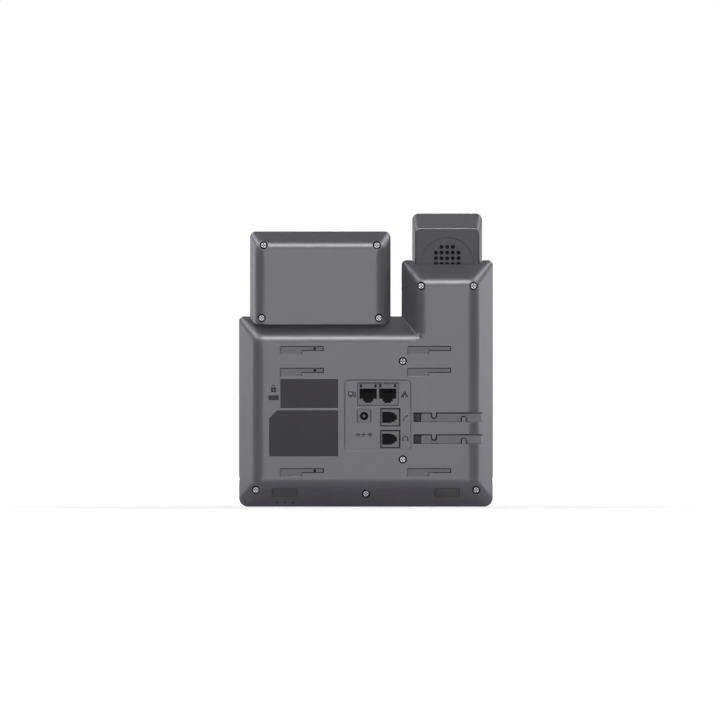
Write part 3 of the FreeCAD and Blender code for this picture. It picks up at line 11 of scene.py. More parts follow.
import bpy
import numpy as np
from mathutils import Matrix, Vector


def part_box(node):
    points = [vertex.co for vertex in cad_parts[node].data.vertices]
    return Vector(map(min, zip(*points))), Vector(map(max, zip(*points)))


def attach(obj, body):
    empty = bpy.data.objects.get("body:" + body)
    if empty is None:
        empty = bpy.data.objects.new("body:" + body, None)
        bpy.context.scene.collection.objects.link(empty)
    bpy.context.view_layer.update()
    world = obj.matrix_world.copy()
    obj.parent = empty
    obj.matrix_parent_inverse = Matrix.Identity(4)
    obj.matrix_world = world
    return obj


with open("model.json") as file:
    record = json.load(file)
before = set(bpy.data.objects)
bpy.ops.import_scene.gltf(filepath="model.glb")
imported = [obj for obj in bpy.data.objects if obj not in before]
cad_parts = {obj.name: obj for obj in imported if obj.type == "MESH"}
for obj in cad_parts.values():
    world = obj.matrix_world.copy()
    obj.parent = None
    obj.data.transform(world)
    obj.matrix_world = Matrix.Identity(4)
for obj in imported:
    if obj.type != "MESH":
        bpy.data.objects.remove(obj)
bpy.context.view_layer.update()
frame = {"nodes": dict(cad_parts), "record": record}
scene = bpy.context.scene
scene.view_settings.view_transform = "Standard"

# %% [markdown]
# ## The camera
#
# The photograph is taken square on to the back, from so far away that near and far edges have the
# same scale. A short lens close up would splay the edges, so a very long lens stands thirteen metres
# off, at half the height of the telephone, and looks straight along the Y axis.

# %% Camera square on to the back
lens = bpy.data.cameras.new("camera")
lens.lens = 900.0
lens.sensor_width = 36.0
camera = bpy.data.objects.new("camera", lens)
camera.location = (0.0043, 12.9865, 0.1057)
camera.rotation_euler = (np.pi / 2, 0.0, np.pi)
scene.collection.objects.link(camera)
scene.camera = camera
print("camera at", tuple(round(c, 4) for c in camera.location))

# %% [markdown]
# ## Finishes as sums
#
# A finish in Blender is a graph of nodes. Wiring it by hand in Python is long to write and hard to
# read, so a small class stands for one wire of the graph. Adding or multiplying wires places a Math
# node, and one method places every other kind of node.


# %% A wire that can be added and multiplied
class Wire:
    """One output of a node. Sums with numbers or other wires add Math nodes."""

    def __init__(self, graph, socket):
        self.graph = graph
        self.socket = socket

    def __add__(self, other):
        return self.graph.sum("ADD", self, other)

    __radd__ = __add__

    def __sub__(self, other):
        return self.graph.sum("SUBTRACT", self, other)

    def __rsub__(self, other):
        return self.graph.sum("SUBTRACT", other, self)

    def __mul__(self, other):
        return self.graph.sum("MULTIPLY", self, other)

    __rmul__ = __mul__

    def __pow__(self, other):
        return self.graph.sum("POWER", self, other)


class Graph:
    """The node tree of a finish, of the floor or of the world."""

    def __init__(self, tree):
        self.tree = tree
        self.place = self.node("TexCoord", out="Object")

    def node(self, kind, settings=None, sockets=None, out=0):
        """Adds a node: its settings first, then a value or a wire for each named socket."""
        made = self.tree.nodes.new("ShaderNode" + kind)
        for name, value in (settings or {}).items():
            setattr(made, name, value)
        for name, value in (sockets or {}).items():
            self.join(made.inputs[name], value)
        return Wire(self, made.outputs[out])

    def join(self, socket, value):
        """Links a wire to a socket, or writes a plain value on it."""
        if isinstance(value, Wire):
            self.tree.links.new(value.socket, socket)
        else:
            socket.default_value = value

    def sum(self, operation, first, second):
        """A Math node on two wires or numbers."""
        return self.node("Math", {"operation": operation}, {0: first, 1: second})

    def mix(self, share, first, second):
        """Colour that goes from the first to the second as the share goes from 0 to 1."""
        return self.node("Mix", {"data_type": "RGBA"}, {0: share, 6: first, 7: second}, 2)

    def ramp(self, value, low, high):
        """0 below low, 1 above high and a smooth rise between them."""
        return self.node("MapRange", {"interpolation_type": "SMOOTHSTEP"},
                         {"Value": value, "From Min": low, "From Max": high})

    def noise(self, size, detail=2.0):
        """Soft random grain whose lumps are about one size across, in millimetres."""
        return self.node("TexNoise", None, {"Vector": self.place, "Scale": 1000 / size, "Detail": detail})

    def axis(self, name):
        """One coordinate of the surface point, in millimetres."""
        return self.node("SeparateXYZ", None, {"Vector": self.place}, name) * 1000


def rgb(red, green, blue):
    """A colour without transparency, as colour sockets take it."""
    return (red, green, blue, 1.0)


print("wires ready")

# %% [markdown]
# ## White surroundings
#
# The photograph stands on pure white. Lighting the floor until it is white would also flood the
# telephone, so the floor and the sky tell apart who is looking: the camera sees white, and so do the
# reflections of what lies behind the telephone, while the light that falls on it comes from a dim sky.
# Near the telephone the floor glows a little less and makes up for it with real reflected light, so it
# still keeps a soft shadow.

# %% Sky
world = bpy.data.worlds.new("studio")
world.use_nodes = True
scene.world = world
sky = Graph(world.node_tree)
heading = sky.node("TexCoord", out="Generated")
depthwise = sky.node("SeparateXYZ", None, {"Vector": heading}, "Y")
behind = 1 - sky.ramp(depthwise, -0.5, -0.12)
seen_white = (sky.node("LightPath", out="Is Camera Ray")
              + sky.node("LightPath", out="Is Glossy Ray") * behind
              + sky.node("LightPath", out="Is Transmission Ray"))
background = world.node_tree.nodes["Background"]
level = sky.node("Math", {"operation": "ABSOLUTE"}, {0: depthwise})
dim = sky.mix(sky.ramp(level, 0.1, 0.9), rgb(0.04, 0.04, 0.041), rgb(0.09, 0.09, 0.092))
sky.join(background.inputs["Color"], sky.mix(seen_white, dim, rgb(1, 1, 1)))
print("sky:", len(world.node_tree.nodes), "nodes")

# %% Floor
FLOOR_HALF = 20.0
sheet = bpy.data.meshes.new("floor")
corners = FLOOR_HALF * np.array([(-1, -1, 0), (1, -1, 0), (1, 1, 0), (-1, 1, 0)], float)
sheet.from_pydata(corners.tolist(), [], [(0, 1, 2, 3)])
floor = bpy.data.objects.new("floor", sheet)
scene.collection.objects.link(floor)
paper = bpy.data.materials.new("white_paper")
paper.use_nodes = True
paper.node_tree.nodes.remove(paper.node_tree.nodes["Principled BSDF"])
ground = Graph(paper.node_tree)
far_side = 1 - ground.ramp(ground.axis("Y"), -500.0, -50.0)
glow = (ground.node("LightPath", out="Is Camera Ray")
        + ground.node("LightPath", out="Is Glossy Ray") * far_side
        + ground.node("LightPath", out="Is Transmission Ray"))
tooth = ground.noise(3.0) * 0.04 + 0.5
pale = ground.mix(tooth, rgb(0.4, 0.4, 0.4), rgb(0.8, 0.8, 0.8))
matt = ground.node("BsdfDiffuse", None, {"Color": pale})
bounce = ground.node("LightPath", out="Is Diffuse Ray") * 0.26
distance = (ground.axis("X") ** 2 + ground.axis("Y") ** 2) ** 0.5
level = ground.ramp(distance, 120.0, 700.0) * 0.42 + 0.56
lit = ground.node("Emission", None, {"Color": rgb(1, 1, 1), "Strength": glow * level + bounce})
ground.join(paper.node_tree.nodes["Material Output"].inputs["Surface"],
            ground.node("AddShader", None, {0: matt, 1: lit}))
sheet.materials.append(paper)
print("floor:", floor.dimensions[:])

# %% [markdown]
# ## Studio lamps
#
# The flat back has an even sheen, the bevelled sides are bright and the bevels above and below are
# dark. That is what a softbox close to the lens and a panel at each side give, with hardly anything
# overhead: one weak box fills the shade there. The bright line along the upper edges is a narrow strip
# lamp in front and above, and a strip at each upper corner takes it round the rounded corners. The
# strips are there for the gloss only. A softbox and a strip stand on the keypad side too.


# %% Lamps
MIDDLE = Vector((0.0, 0.0, 0.1))


def softbox(name, place, wide, high, watts, gloss_only=False, matt_only=False):
    """A rectangular lamp that looks at the middle of the telephone."""
    lamp = bpy.data.lights.new(name, "AREA")
    lamp.shape = "RECTANGLE"
    lamp.size = wide
    lamp.size_y = high
    lamp.energy = watts
    holder = bpy.data.objects.new(name, lamp)
    holder.location = place
    holder.rotation_euler = (Vector(place) - MIDDLE).to_track_quat("Z", "Y").to_euler()
    holder.visible_camera = False
    holder.visible_diffuse = not gloss_only
    holder.visible_glossy = not matt_only
    scene.collection.objects.link(holder)
    return holder


softbox("lens_side_box", (0.0, 3.2, 0.12), 0.8, 0.8, 38.5)
softbox("upper_strip", (0.0, 1.56, 1.66), 1.6, 0.3, 78.0, gloss_only=True)
softbox("ceiling_box", (0.0, 0.3, 2.4), 1.5, 1.5, 6.0, matt_only=True)
softbox("left_corner_strip", (-1.48, 0.18, 1.58), 2.6, 0.35, 40.0, gloss_only=True)
softbox("right_corner_strip", (1.48, 0.18, 1.58), 2.6, 0.35, 40.0, gloss_only=True)
softbox("keypad_side_box", (0.0, -3.2, 0.6), 0.9, 0.9, 40.0)
softbox("keypad_strip", (0.0, -1.56, 1.66), 1.6, 0.3, 60.0, gloss_only=True)
softbox("right_panel", (1.69, -0.62, 0.8), 0.6, 2.2, 21.5)
softbox("left_panel", (-1.69, -0.62, 0.8), 0.6, 2.2, 28.0)
print("lamps:", len(bpy.data.lights))

# %% [markdown]
# ## Moulded housing plastic
#
# The shells are dark grey plastic with a slight violet cast, moulded in a spark-eroded tool. Such a
# tool leaves a fine matt grain, which scatters the light and makes the gloss broad. The grain is a bump
# made of noise half a millimetre across, and slower noise shifts the tone by a few percent as handling
# and flow in the mould do. The handset is the darker of the two. Hands have polished the rounded edge
# round its earpiece, and a thin coat that starts and stops with the depth of that edge brings it out.


# %% Finish for the shells
def principled(name):
    """A new finish: its graph and its shader."""
    made = bpy.data.materials.new(name)
    made.use_nodes = True
    return made, Graph(made.node_tree), made.node_tree.nodes["Principled BSDF"]


def grained_plastic(name, dark, light, rough, grain, depth, gloss=0.5, edge_radius=0.6):
    """Moulded plastic: the tone wanders between two colours, grain of a size in millimetres is pressed
    in by a depth in millimetres, and sharp edges look rounded by a small radius."""
    made, graph, shader = principled(name)
    flow = graph.noise(38.0, 3.0)
    spark = graph.noise(grain, 3.0)
    tone = graph.ramp(flow, 0.3, 0.7) * 0.7 + graph.ramp(spark, 0.3, 0.7) * 0.3
    graph.join(shader.inputs["Base Color"], graph.mix(tone, rgb(*dark), rgb(*light)))
    graph.join(shader.inputs["Roughness"], rough - 0.03 + flow * 0.04 + spark * 0.03)
    edge = graph.node("Bevel", {"samples": 6}, {"Radius": edge_radius * 0.001})
    graph.join(shader.inputs["Normal"], graph.node("Bump", None, {
        "Height": spark, "Strength": 0.35, "Distance": depth * 0.001, "Normal": edge}))
    shader.inputs["Specular IOR Level"].default_value = gloss
    return made


housing = grained_plastic("housing_plastic", (0.112, 0.107, 0.128), (0.127, 0.122, 0.144), 0.39, 0.45, 0.03)
handset_shell = grained_plastic("handset_plastic", (0.047, 0.044, 0.057), (0.054, 0.051, 0.065),
                                0.40, 0.6, 0.03, 0.28, 0.3)
graph = Graph(handset_shell.node_tree)
shader = graph.tree.nodes["Principled BSDF"]
EDGE_INNER, EDGE_OUTER = (4.02, 4.2), (4.46, 4.49)
depth = graph.axis("Y")
worn = graph.ramp(depth, *EDGE_INNER) * (1 - graph.ramp(depth, *EDGE_OUTER))
graph.join(shader.inputs["Coat Weight"], worn * 0.7)
shader.inputs["Coat Roughness"].default_value = 0.15
print("shell finishes:", housing.name, handset_shell.name)

# %% [markdown]
# ## Keys, rubber and film
#
# Keys are satin and almost black, and each is a little smoother than the shell so that a finger slides.
# Feet are matt rubber, and the two plates on the back are matt film. Ink, the dark and grey seams, a smoked
# lens and the cloth behind the holes of the handset are dull and dark in other measures. The seam finishes
# also colour painted shade in the slots, the cord channels, the screw wells and along the port panel, and
# the rubber colours painted shade on the pit floors of the channels. All are the same kind of recipe with
# other numbers, so the function from the last step serves again.

# %% Finishes made the same way
keys = grained_plastic("key_plastic", (0.030, 0.030, 0.033), (0.040, 0.040, 0.044), 0.42, 0.3, 0.012, 0.35)
rubber = grained_plastic("foot_rubber", (0.085, 0.083, 0.088), (0.100, 0.098, 0.104), 0.7, 0.7, 0.06, 0.2)
film = grained_plastic("label_film", (0.054, 0.050, 0.057), (0.062, 0.058, 0.066), 0.6, 0.5, 0.01, 0.15)
mat_rubber = grained_plastic("silicone", (0.32, 0.32, 0.33), (0.38, 0.38, 0.39), 0.6, 0.8, 0.02)
ink = grained_plastic("printed_ink", (0.026, 0.025, 0.029), (0.036, 0.034, 0.039), 0.6, 0.25, 0.005, 0.15)
legend_ink = grained_plastic("legend_ink", (0.70, 0.70, 0.70), (0.80, 0.80, 0.80), 0.55, 0.25, 0.005)
# grey finish: the seam round the network block, the painted shade along the port panel, and the lock pocket
seam_and_shade_grey = grained_plastic("shade_and_seam_grey", (0.070, 0.068, 0.076), (0.082, 0.079, 0.088),
                            0.5, 0.3, 0.01, 0.35)
# dark finish: the seams round the small jacks, and the painted shade in slots, channels and screw wells
seam_and_shade_dark = grained_plastic("seam_and_shade_dark", (0.012, 0.012, 0.013), (0.018, 0.018, 0.020),
                            0.7, 0.3, 0.005, 0.1)
smoked = grained_plastic("smoked_lens", (0.008, 0.009, 0.008), (0.014, 0.015, 0.014), 0.3, 0.3, 0.004, 0.2)
cloth = grained_plastic("acoustic_cloth", (0.010, 0.010, 0.011), (0.020, 0.020, 0.022), 0.8, 0.5, 0.1, 0.1)
print("small finishes:", [finish.name for finish in (
    keys, rubber, film, mat_rubber, ink, legend_ink, seam_and_shade_grey, seam_and_shade_dark, smoked, cloth)])

# %% [markdown]
# ## Sockets with painted shade in them
#
# The jacks have a grey face, almost level with the panel. Below it they are the same plastic, and the shade
# deep in them is painted into the colour, near black. Two materials on one solid would need its faces
# picked one by one. The face is at a known depth instead, so the Y coordinate tells face from painted
# shade, and a smooth step between them hides nothing that can be seen.


# %% Finish for the jacks, with painted shade within
def socket_with_painted_shade(name, face_y):
    """Grey above a Y coordinate in millimetres, and below it near black as painted shade."""
    made, graph, shader = principled(name)
    # painted shade: below the face the colour turns near black where shade falls deep in the socket
    inner_shade = 1 - graph.ramp(graph.axis("Y"), face_y - 0.25, face_y - 0.1)
    grain = graph.noise(0.4)
    face = graph.mix(grain, rgb(0.125, 0.123, 0.133), rgb(0.165, 0.163, 0.175))
    painted_inner_shade = graph.mix(grain, rgb(0.009, 0.008, 0.010), rgb(0.013, 0.012, 0.015))
    graph.join(shader.inputs["Base Color"], graph.mix(inner_shade, face, painted_inner_shade))
    graph.join(shader.inputs["Roughness"], 0.5 + inner_shade * 0.3)
    return made, graph, shader


face_y = 1000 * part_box("network_jacks")[1].y
jack, *_ = socket_with_painted_shade("jack_plastic", face_y)
print("jack faces at y =", round(face_y, 2), "mm")

# %% Finish for the power inlet
# the power inlet gets the same painted shade within as the jacks
inlet, graph, shader = socket_with_painted_shade("inlet_plastic_painted_shade", face_y)
low, high = (1000 * np.array(corner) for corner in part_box("power_jack"))
INLET_X, INLET_Z = 1.4, 65.4
reach = ((graph.axis("X") - INLET_X) ** 2 + (graph.axis("Z") - INLET_Z) ** 2) ** 0.5
pin = 1 - graph.ramp(reach, 1.05, 1.25)
old_colour = Wire(graph, shader.inputs["Base Color"].links[0].from_socket)
old_rough = Wire(graph, shader.inputs["Roughness"].links[0].from_socket)
graph.join(shader.inputs["Base Color"], graph.mix(pin, old_colour, rgb(0.10, 0.10, 0.10)))
graph.join(shader.inputs["Roughness"], old_rough * (1 - pin) + pin * 0.6)
graph.join(shader.inputs["Metallic"], pin)
print("power inlet", np.round(low, 1), np.round(high, 1))

# %% [markdown]
# ## Metals
#
# Screws and pins are zinc plated. The plating is bright but never a clean mirror: a fine grain spreads
# the gloss, and slow noise clouds it. Capsules and the weight in the handset are plain metal.


# %% Finish for metals
def plated(name, dark, light, rough):
    """Bare or plated metal, clouded in tone and in gloss."""
    made, graph, shader = principled(name)
    cloud = graph.noise(1.6, 4.0)
    graph.join(shader.inputs["Base Color"], graph.mix(cloud, rgb(*dark), rgb(*light)))
    graph.join(shader.inputs["Roughness"], rough - 0.06 + cloud * 0.12)
    graph.join(shader.inputs["Normal"], graph.node("Bump", None, {
        "Height": graph.noise(0.12), "Strength": 0.15, "Distance": 0.00001}))
    shader.inputs["Metallic"].default_value = 1.0
    return made


zinc = plated("zinc", (0.36, 0.36, 0.37), (0.50, 0.50, 0.51), 0.5)
capsule = plated("capsule_metal", (0.34, 0.34, 0.35), (0.46, 0.46, 0.47), 0.4)
gold = plated("contact_gold", (0.20, 0.13, 0.05), (0.28, 0.20, 0.08), 0.35)
print("metals:", zinc.name, capsule.name, gold.name)

# %% [markdown]
# ## Boards
#
# Circuit boards are green solder mask over copper tracks. Tracks run in bundles along the board, so
# stripes from a Wave texture are kept only where slow noise is high, and solder pads are dots of a
# Voronoi pattern.

# %% Finish for the boards
board, graph, shader = principled("circuit_board")
stripes = graph.node("TexWave", {"bands_direction": "X"},
                     {"Vector": graph.place, "Scale": 170.0, "Distortion": 0.6, "Detail": 1.0}, "Fac")
bundle = graph.ramp(graph.noise(14.0), 0.5, 0.56)
track = graph.ramp(stripes, 0.55, 0.75) * bundle
dots = graph.node("TexVoronoi", None, {"Vector": graph.place, "Scale": 300.0}, "Distance")
pad = (1 - graph.ramp(dots, 0.16, 0.2)) * (1 - bundle)
mask_colour = graph.mix(track, rgb(0.012, 0.075, 0.035), rgb(0.03, 0.14, 0.065))
graph.join(shader.inputs["Base Color"], graph.mix(pad, mask_colour, rgb(0.45, 0.45, 0.44)))
graph.join(shader.inputs["Roughness"], 0.32 + graph.noise(2.0) * 0.1)
graph.join(shader.inputs["Metallic"], pad)
graph.join(shader.inputs["Normal"], graph.node("Bump", None, {
    "Height": track, "Strength": 0.4, "Distance": 0.00004}))
print("board finish:", len(graph.tree.nodes), "nodes")

# %% [markdown]
# ## Window, screen and lamp
#
# The display window is smoked and glossy, with a dark screen under it that is switched off. A faint
# lighter field shows where the screen lies behind the glass. The message lamp is a translucent red bar.

# %% Finish for the window
window, graph, shader = principled("window")
low, high = (1000 * np.array(corner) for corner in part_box("lcd_panel"))
INSET, BLUR = 3.5, 0.4


def between(value, low, high):
    """1 from low to high, and 0 outside, with a soft edge."""
    return graph.ramp(value, low, low + BLUR) * (1 - graph.ramp(value, high - BLUR, high))


field = (between(graph.axis("X"), low[0] + INSET, high[0] - INSET)
         * between(graph.axis("Z"), low[2] + INSET, high[2] - INSET))
tint = graph.mix(field, rgb(0.006, 0.006, 0.007), rgb(0.030, 0.034, 0.036))
graph.join(shader.inputs["Base Color"], tint)
graph.join(shader.inputs["Roughness"], 0.08 + graph.noise(25.0, 4.0) * 0.05)
print("screen field", np.round(low + INSET, 1), "to", np.round(high - INSET, 1))

# %% Finish for the screen and the lamp
screen, graph, shader = principled("screen")
dots = graph.node("TexChecker", None, {"Vector": graph.place, "Scale": 2000.0}, "Fac")
tint = graph.mix(dots, rgb(0.026, 0.030, 0.034), rgb(0.034, 0.039, 0.044))
graph.join(shader.inputs["Base Color"], tint)
graph.join(shader.inputs["Roughness"], 0.2 + graph.noise(12.0) * 0.06)

lamp_red, graph, shader = principled("lamp_red")
cloudy = graph.noise(1.8, 3.0)
graph.join(shader.inputs["Base Color"], graph.mix(cloudy, rgb(0.42, 0.02, 0.02), rgb(0.62, 0.05, 0.04)))
graph.join(shader.inputs["Roughness"], 0.16 + cloudy * 0.08)
shader.inputs["Subsurface Weight"].default_value = 0.3
shader.inputs["Subsurface Scale"].default_value = 0.001
print("finishes so far:", len(bpy.data.materials))

# %% [markdown]
# ## Dressing the solid pieces
#
# The record that came with the pieces names a slot for each one. A table from slot to finish dresses
# most of them at once, and a few pieces that differ from their slot follow by name.

# %% Give each solid piece its finish
by_slot = {
    "housing_plastic": housing, "key_plastic": keys, "jack_plastic": jack, "black_plastic": inlet,
    "circuit_board": board, "steel": zinc, "silicone": mat_rubber, "foot_rubber": rubber,
    "label_film": film, "capsule_metal": capsule, "window": window, "screen": screen, "lamp": lamp_red,
}
by_piece = {"handset_inner_shell": handset_shell, "handset_outer_shell": handset_shell,
            "receiver_capsule": cloth, "handset_microphone": cloth}
for row in frame["record"]["subparts"]:
    piece = frame["nodes"][row["node"]]
    piece.data.materials.clear()
    piece.data.materials.append(by_piece.get(row["node"], by_slot[row["material_slot"]]))

# %% [markdown]
# ## Thin things on a face
#
# Symbols on a moulding are a film of ink, or strokes raised by a hair. Painting them as a texture would
# need an image, so they are meshes: a flat rule carried along a path, a plate cut to an outline, or a
# low dome. Each is drawn in millimetres as seen by someone facing it, with the height towards them.


# %% Rules, plates and domes
def rule(path, width, low, high, closed=False):
    """A flat rule along a path. At each point four corners stand half the width to either side, along
    the mitred normal, at two heights. Quads join every four to the next four."""
    path = np.asarray(path, float)
    ahead = np.roll(path, -1, 0) - path
    ahead /= np.maximum(np.linalg.norm(ahead, axis=1, keepdims=True), 1e-9)
    before = np.roll(ahead, 1, 0)
    if not closed:
        ahead[-1] = before[-1]
        before[0] = ahead[0]
    lean = ahead + before
    lean /= np.linalg.norm(lean, axis=1, keepdims=True)
    reach = width / 2 / np.clip((lean * ahead).sum(1), 0.5, 1.0)
    side = np.stack([-lean[:, 1], lean[:, 0]], 1) * reach[:, None]
    count = len(path)
    points = np.zeros((count, 4, 3))
    points[:, (0, 3), :2] = (path + side)[:, None]
    points[:, (1, 2), :2] = (path - side)[:, None]
    points[:, :2, 2] = low
    points[:, 2:, 2] = high
    here = np.arange(count if closed else count - 1)[:, None]
    there = (here + 1) % count
    edge = np.arange(4)[None]
    turn = (edge + 1) % 4
    quads = np.stack([4 * here + edge, 4 * there + edge, 4 * there + turn, 4 * here + turn], -1)
    faces = quads.reshape(-1, 4).tolist()
    if not closed:
        faces += [[0, 1, 2, 3], [4 * count - 1, 4 * count - 2, 4 * count - 3, 4 * count - 4]]
    return points.reshape(-1, 3), faces


def plate(outline, low, high):
    """A plate cut to an outline that runs anticlockwise: the outline at two heights, joined by quads."""
    outline = np.asarray(outline, float)
    count = len(outline)
    heights = np.repeat([low, high], count)[:, None]
    points = np.hstack([np.tile(outline, (2, 1)), heights])
    here = np.arange(count)
    there = (here + 1) % count
    walls = np.stack([here, there, count + there, count + here], 1).tolist()
    return points, walls + [here[::-1].tolist(), (count + here).tolist()]


def arc(middle, radius, start, end, steps=24):
    """Points on a circle, from one angle to another in degrees, anticlockwise from the right."""
    turn = np.radians(np.linspace(start, end, steps))
    return np.asarray(middle, float) + radius * np.stack([np.cos(turn), np.sin(turn)], 1)


def ring(middle, radius, width, low, high, steps=32):
    """A rule along a whole circle."""
    return rule(arc(middle, radius, 0, 360, steps + 1)[:-1], width, low, high, closed=True)


def dome(middle, radius, low, high, rings=6, steps=24):
    """A low dome: at a share s of the radius the height falls by s squared."""
    share, turn = np.meshgrid(np.linspace(1.0, 1.0 / rings, rings),
                              np.linspace(0, 2 * np.pi, steps, endpoint=False), indexing="ij")
    points = np.stack([middle[0] + radius * share * np.cos(turn),
                       middle[1] + radius * share * np.sin(turn),
                       low + (high - low) * (1 - share ** 2)], -1).reshape(-1, 3)
    points = np.vstack([points, [[middle[0], middle[1], high]]])
    level = np.arange(rings - 1)[:, None] * steps
    here = np.arange(steps)[None]
    there = (here + 1) % steps
    quads = np.stack([level + here, level + there, level + steps + there, level + steps + here], -1)
    crown = (rings - 1) * steps
    top = np.stack([crown + here[0], crown + there[0], np.full(steps, rings * steps)], 1)
    return points, quads.reshape(-1, 4).tolist() + top.tolist() + [here[0][::-1].tolist()]


print("a ring has", len(ring((0, 0), 1, 0.2, 0, 0.1)[0]), "points")


# %% Placing a drawing
def gather(shapes):
    """Several shapes as one list of points and faces."""
    starts = np.cumsum([0] + [len(points) for points, _ in shapes])
    faces = [[start + i for i in face] for start, (_, rows) in zip(starts, shapes) for face in rows]
    return np.vstack([points for points, _ in shapes]), faces


def on_back(points, across, up, level):
    """Drawing seen from behind: its right is -X, its up is Z and its height goes to +Y."""
    return np.stack([across - points[:, 0], level + points[:, 2], up + points[:, 1]], 1)


def on_front(points, across, up, level):
    """Drawing seen from the keypad side: its right is X, its up is Z and its height goes to -Y."""
    return np.stack([across + points[:, 0], level - points[:, 2], up + points[:, 1]], 1)


def add_piece(name, points, faces, finish, body):
    """Puts millimetre points into a mesh in metres and lets it ride on a body."""
    mesh = bpy.data.meshes.new(name)
    mesh.from_pydata((points * 0.001).tolist(), [], faces)
    mesh.validate()
    mesh.materials.append(finish)
    piece = bpy.data.objects.new(name, mesh)
    scene.collection.objects.link(piece)
    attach(piece, body)
    return piece


print("drawings can be placed on the back and on the front")

# %% [markdown]
# ## Symbols on the back
#
# Small dark symbols on the back tell what each socket is for: a lock, a computer, a network of three
# boxes, a handset, a headset, and the polarity of the power inlet. They are a few millimetres high, so
# strokes of half a millimetre are enough.

# %% Symbols for the sockets
BACK_Y = 26.5
PANEL_Y = 25.9
LOCK_X = 66.6
LOW, HIGH = -0.02, 0.05
STROKE = 0.55


def box_outline(left, bottom, right, top):
    """The four corners of an upright box, anticlockwise."""
    return [(left, bottom), (right, bottom), (right, top), (left, top)]


def line(*path, width=STROKE, closed=False):
    """A stroke of ink along a path."""
    return rule(path, width, LOW, HIGH, closed)


lock_sign = [line(*box_outline(-1.2, -2.1, 1.2, 0.0), width=1.05, closed=True),
             line((-1.1, 0.4), *arc((0, 1.2), 1.1, 180, 0), (1.1, 0.4), width=0.5)]
computer_sign = [line(*box_outline(-2.5, -0.7, 0.7, 1.7), closed=True),
                 line((-1.9, -1.7), (0.3, -1.7)), line((-0.9, -0.9), (-0.9, -1.6)),
                 line(*box_outline(1.5, -1.8, 2.6, 1.2), closed=True)]
network_sign = [line(*box_outline(-0.65, 0.75, 0.65, 1.85), closed=True),
                line(*box_outline(-2.1, -1.9, -0.9, -0.8), closed=True),
                line(*box_outline(0.9, -1.9, 2.1, -0.8), closed=True),
                line((-1.5, -0.7), (-1.5, 0.0), (1.5, 0.0), (1.5, -0.7)), line((0, 0.0), (0, 0.65))]
handset_sign = [line(*arc((2.6, -2.2), 3.9, 178, 98), width=0.6),
                line((-1.55, -2.0), (-0.9, -1.3), width=0.9), line((1.3, 1.3), (2.0, 1.75), width=0.9)]
headset_sign = [line(*arc((0, 0), 1.75, -45, 225)), line((-1.75, -0.3), (-1.75, -1.5), width=0.75),
                line((1.75, -0.3), (1.75, -1.5), width=0.75)]
polarity_sign = [ring((-4.35, 0), 1.05, STROKE, LOW, HIGH), ring((4.35, 0), 1.05, STROKE, LOW, HIGH),
                 dome((0, 0), 0.65, LOW, HIGH), line((-3.2, 0), (-1.2, 0), width=0.35),
                 line((1.2, 0), (3.2, 0), width=0.35), line((0.6, 0), (1.3, 0), width=0.35),
                 *[line((x - 0.5, 0), (x + 0.5, 0), width=0.3) for x in (-4.35, 4.35)],
                 line((4.35, -0.5), (4.35, 0.5), width=0.3), line(*arc((0, 0), 1.2, 60, 300), width=0.35)]
for name, shapes, across, up, level in (
        ("lock_sign", lock_sign, LOCK_X, 85.2, BACK_Y),
        ("computer_sign", computer_sign, 10.2, 81.0, PANEL_Y),
        ("network_sign", network_sign, -27.8, 80.9, PANEL_Y),
        ("handset_sign", handset_sign, -28.3, 64.0, PANEL_Y),
        ("headset_sign", headset_sign, -28.4, 48.9, PANEL_Y),
        ("polarity_sign", polarity_sign, INLET_X, 51.9, PANEL_Y)):
    points, faces = gather(shapes)
    add_piece(name, on_back(points, across, up, level), faces, ink, "base")
print("symbols on the back: 6")

# %% [markdown]
# ## Seams and painted shade
#
# Where one moulding meets another there is a gap too thin to model as a void, and it shows as a fine dark
# line round the jacks and the network block. Other fine dark lines are painted shade, where a step or a
# wall
# casts a shadow: along the recessed port panel, along the lip of each stand slot and round each tab in the
# cord channels. All are rules again. The gap round the power inlet hardly shows, so its rule has the
# finish of the housing.


# %% Painted shade along the panel, and seams round the jacks
def frame_path(left, right, low, high):
    """Corners of an upright box on the back, as a drawing seen from behind."""
    return box_outline(-right, low, -left, high)


JACK_ROWS = (64.4, 48.7)
LEFT, RIGHT, TOP, CORNER, BOTTOM = -15.05, 32.15, 91.15, 0.95, 42.0
FLUSH, JACK_FACE = 0.02, -0.35
panel = [(LEFT, BOTTOM), (LEFT, TOP - CORNER), (LEFT + CORNER, TOP), (RIGHT - CORNER, TOP),
         (RIGHT, TOP - CORNER), (RIGHT, 70.0)]
# painted shade: dark lines on the left, top and right of the recessed port panel, where its step casts a
# shadow
panel_shade_lines = [rule(path, 0.4, LOW, HIGH) for path in (
    panel, [(RIGHT, 59.0), (RIGHT, 54.5)], [(RIGHT, 43.0), (RIGHT, BOTTOM)])]
small_jacks = [rule(frame_path(-24.2, -10.7, z - 6.2, z + 6.2), 0.75, JACK_FACE, HIGH, closed=True)
               for z in JACK_ROWS]
network_block = [rule(frame_path(-23.3, 6.1, 73.2, 88.7), 0.5, JACK_FACE, FLUSH, closed=True)]
power_block = [rule(frame_path(-3.3, 6.1, 60.7, 70.1), 0.5, JACK_FACE, FLUSH, closed=True)]
for name, shapes, finish, slot in (("panel_painted_shade_outline", panel_shade_lines, seam_and_shade_grey, "label_film"),
                                   ("small_jack_seams", small_jacks, seam_and_shade_dark, "label_film"),
                                   ("network_block_seam", network_block, seam_and_shade_grey, "jack_plastic"),
                                   ("power_block_seam", power_block, housing, "housing_plastic")):
    points, faces = gather(shapes)
    add_piece(name, on_back(points, 0, 0, PANEL_Y), faces, finish, "base")
print("seams: round the panel, two small jacks, the network block and the power inlet")

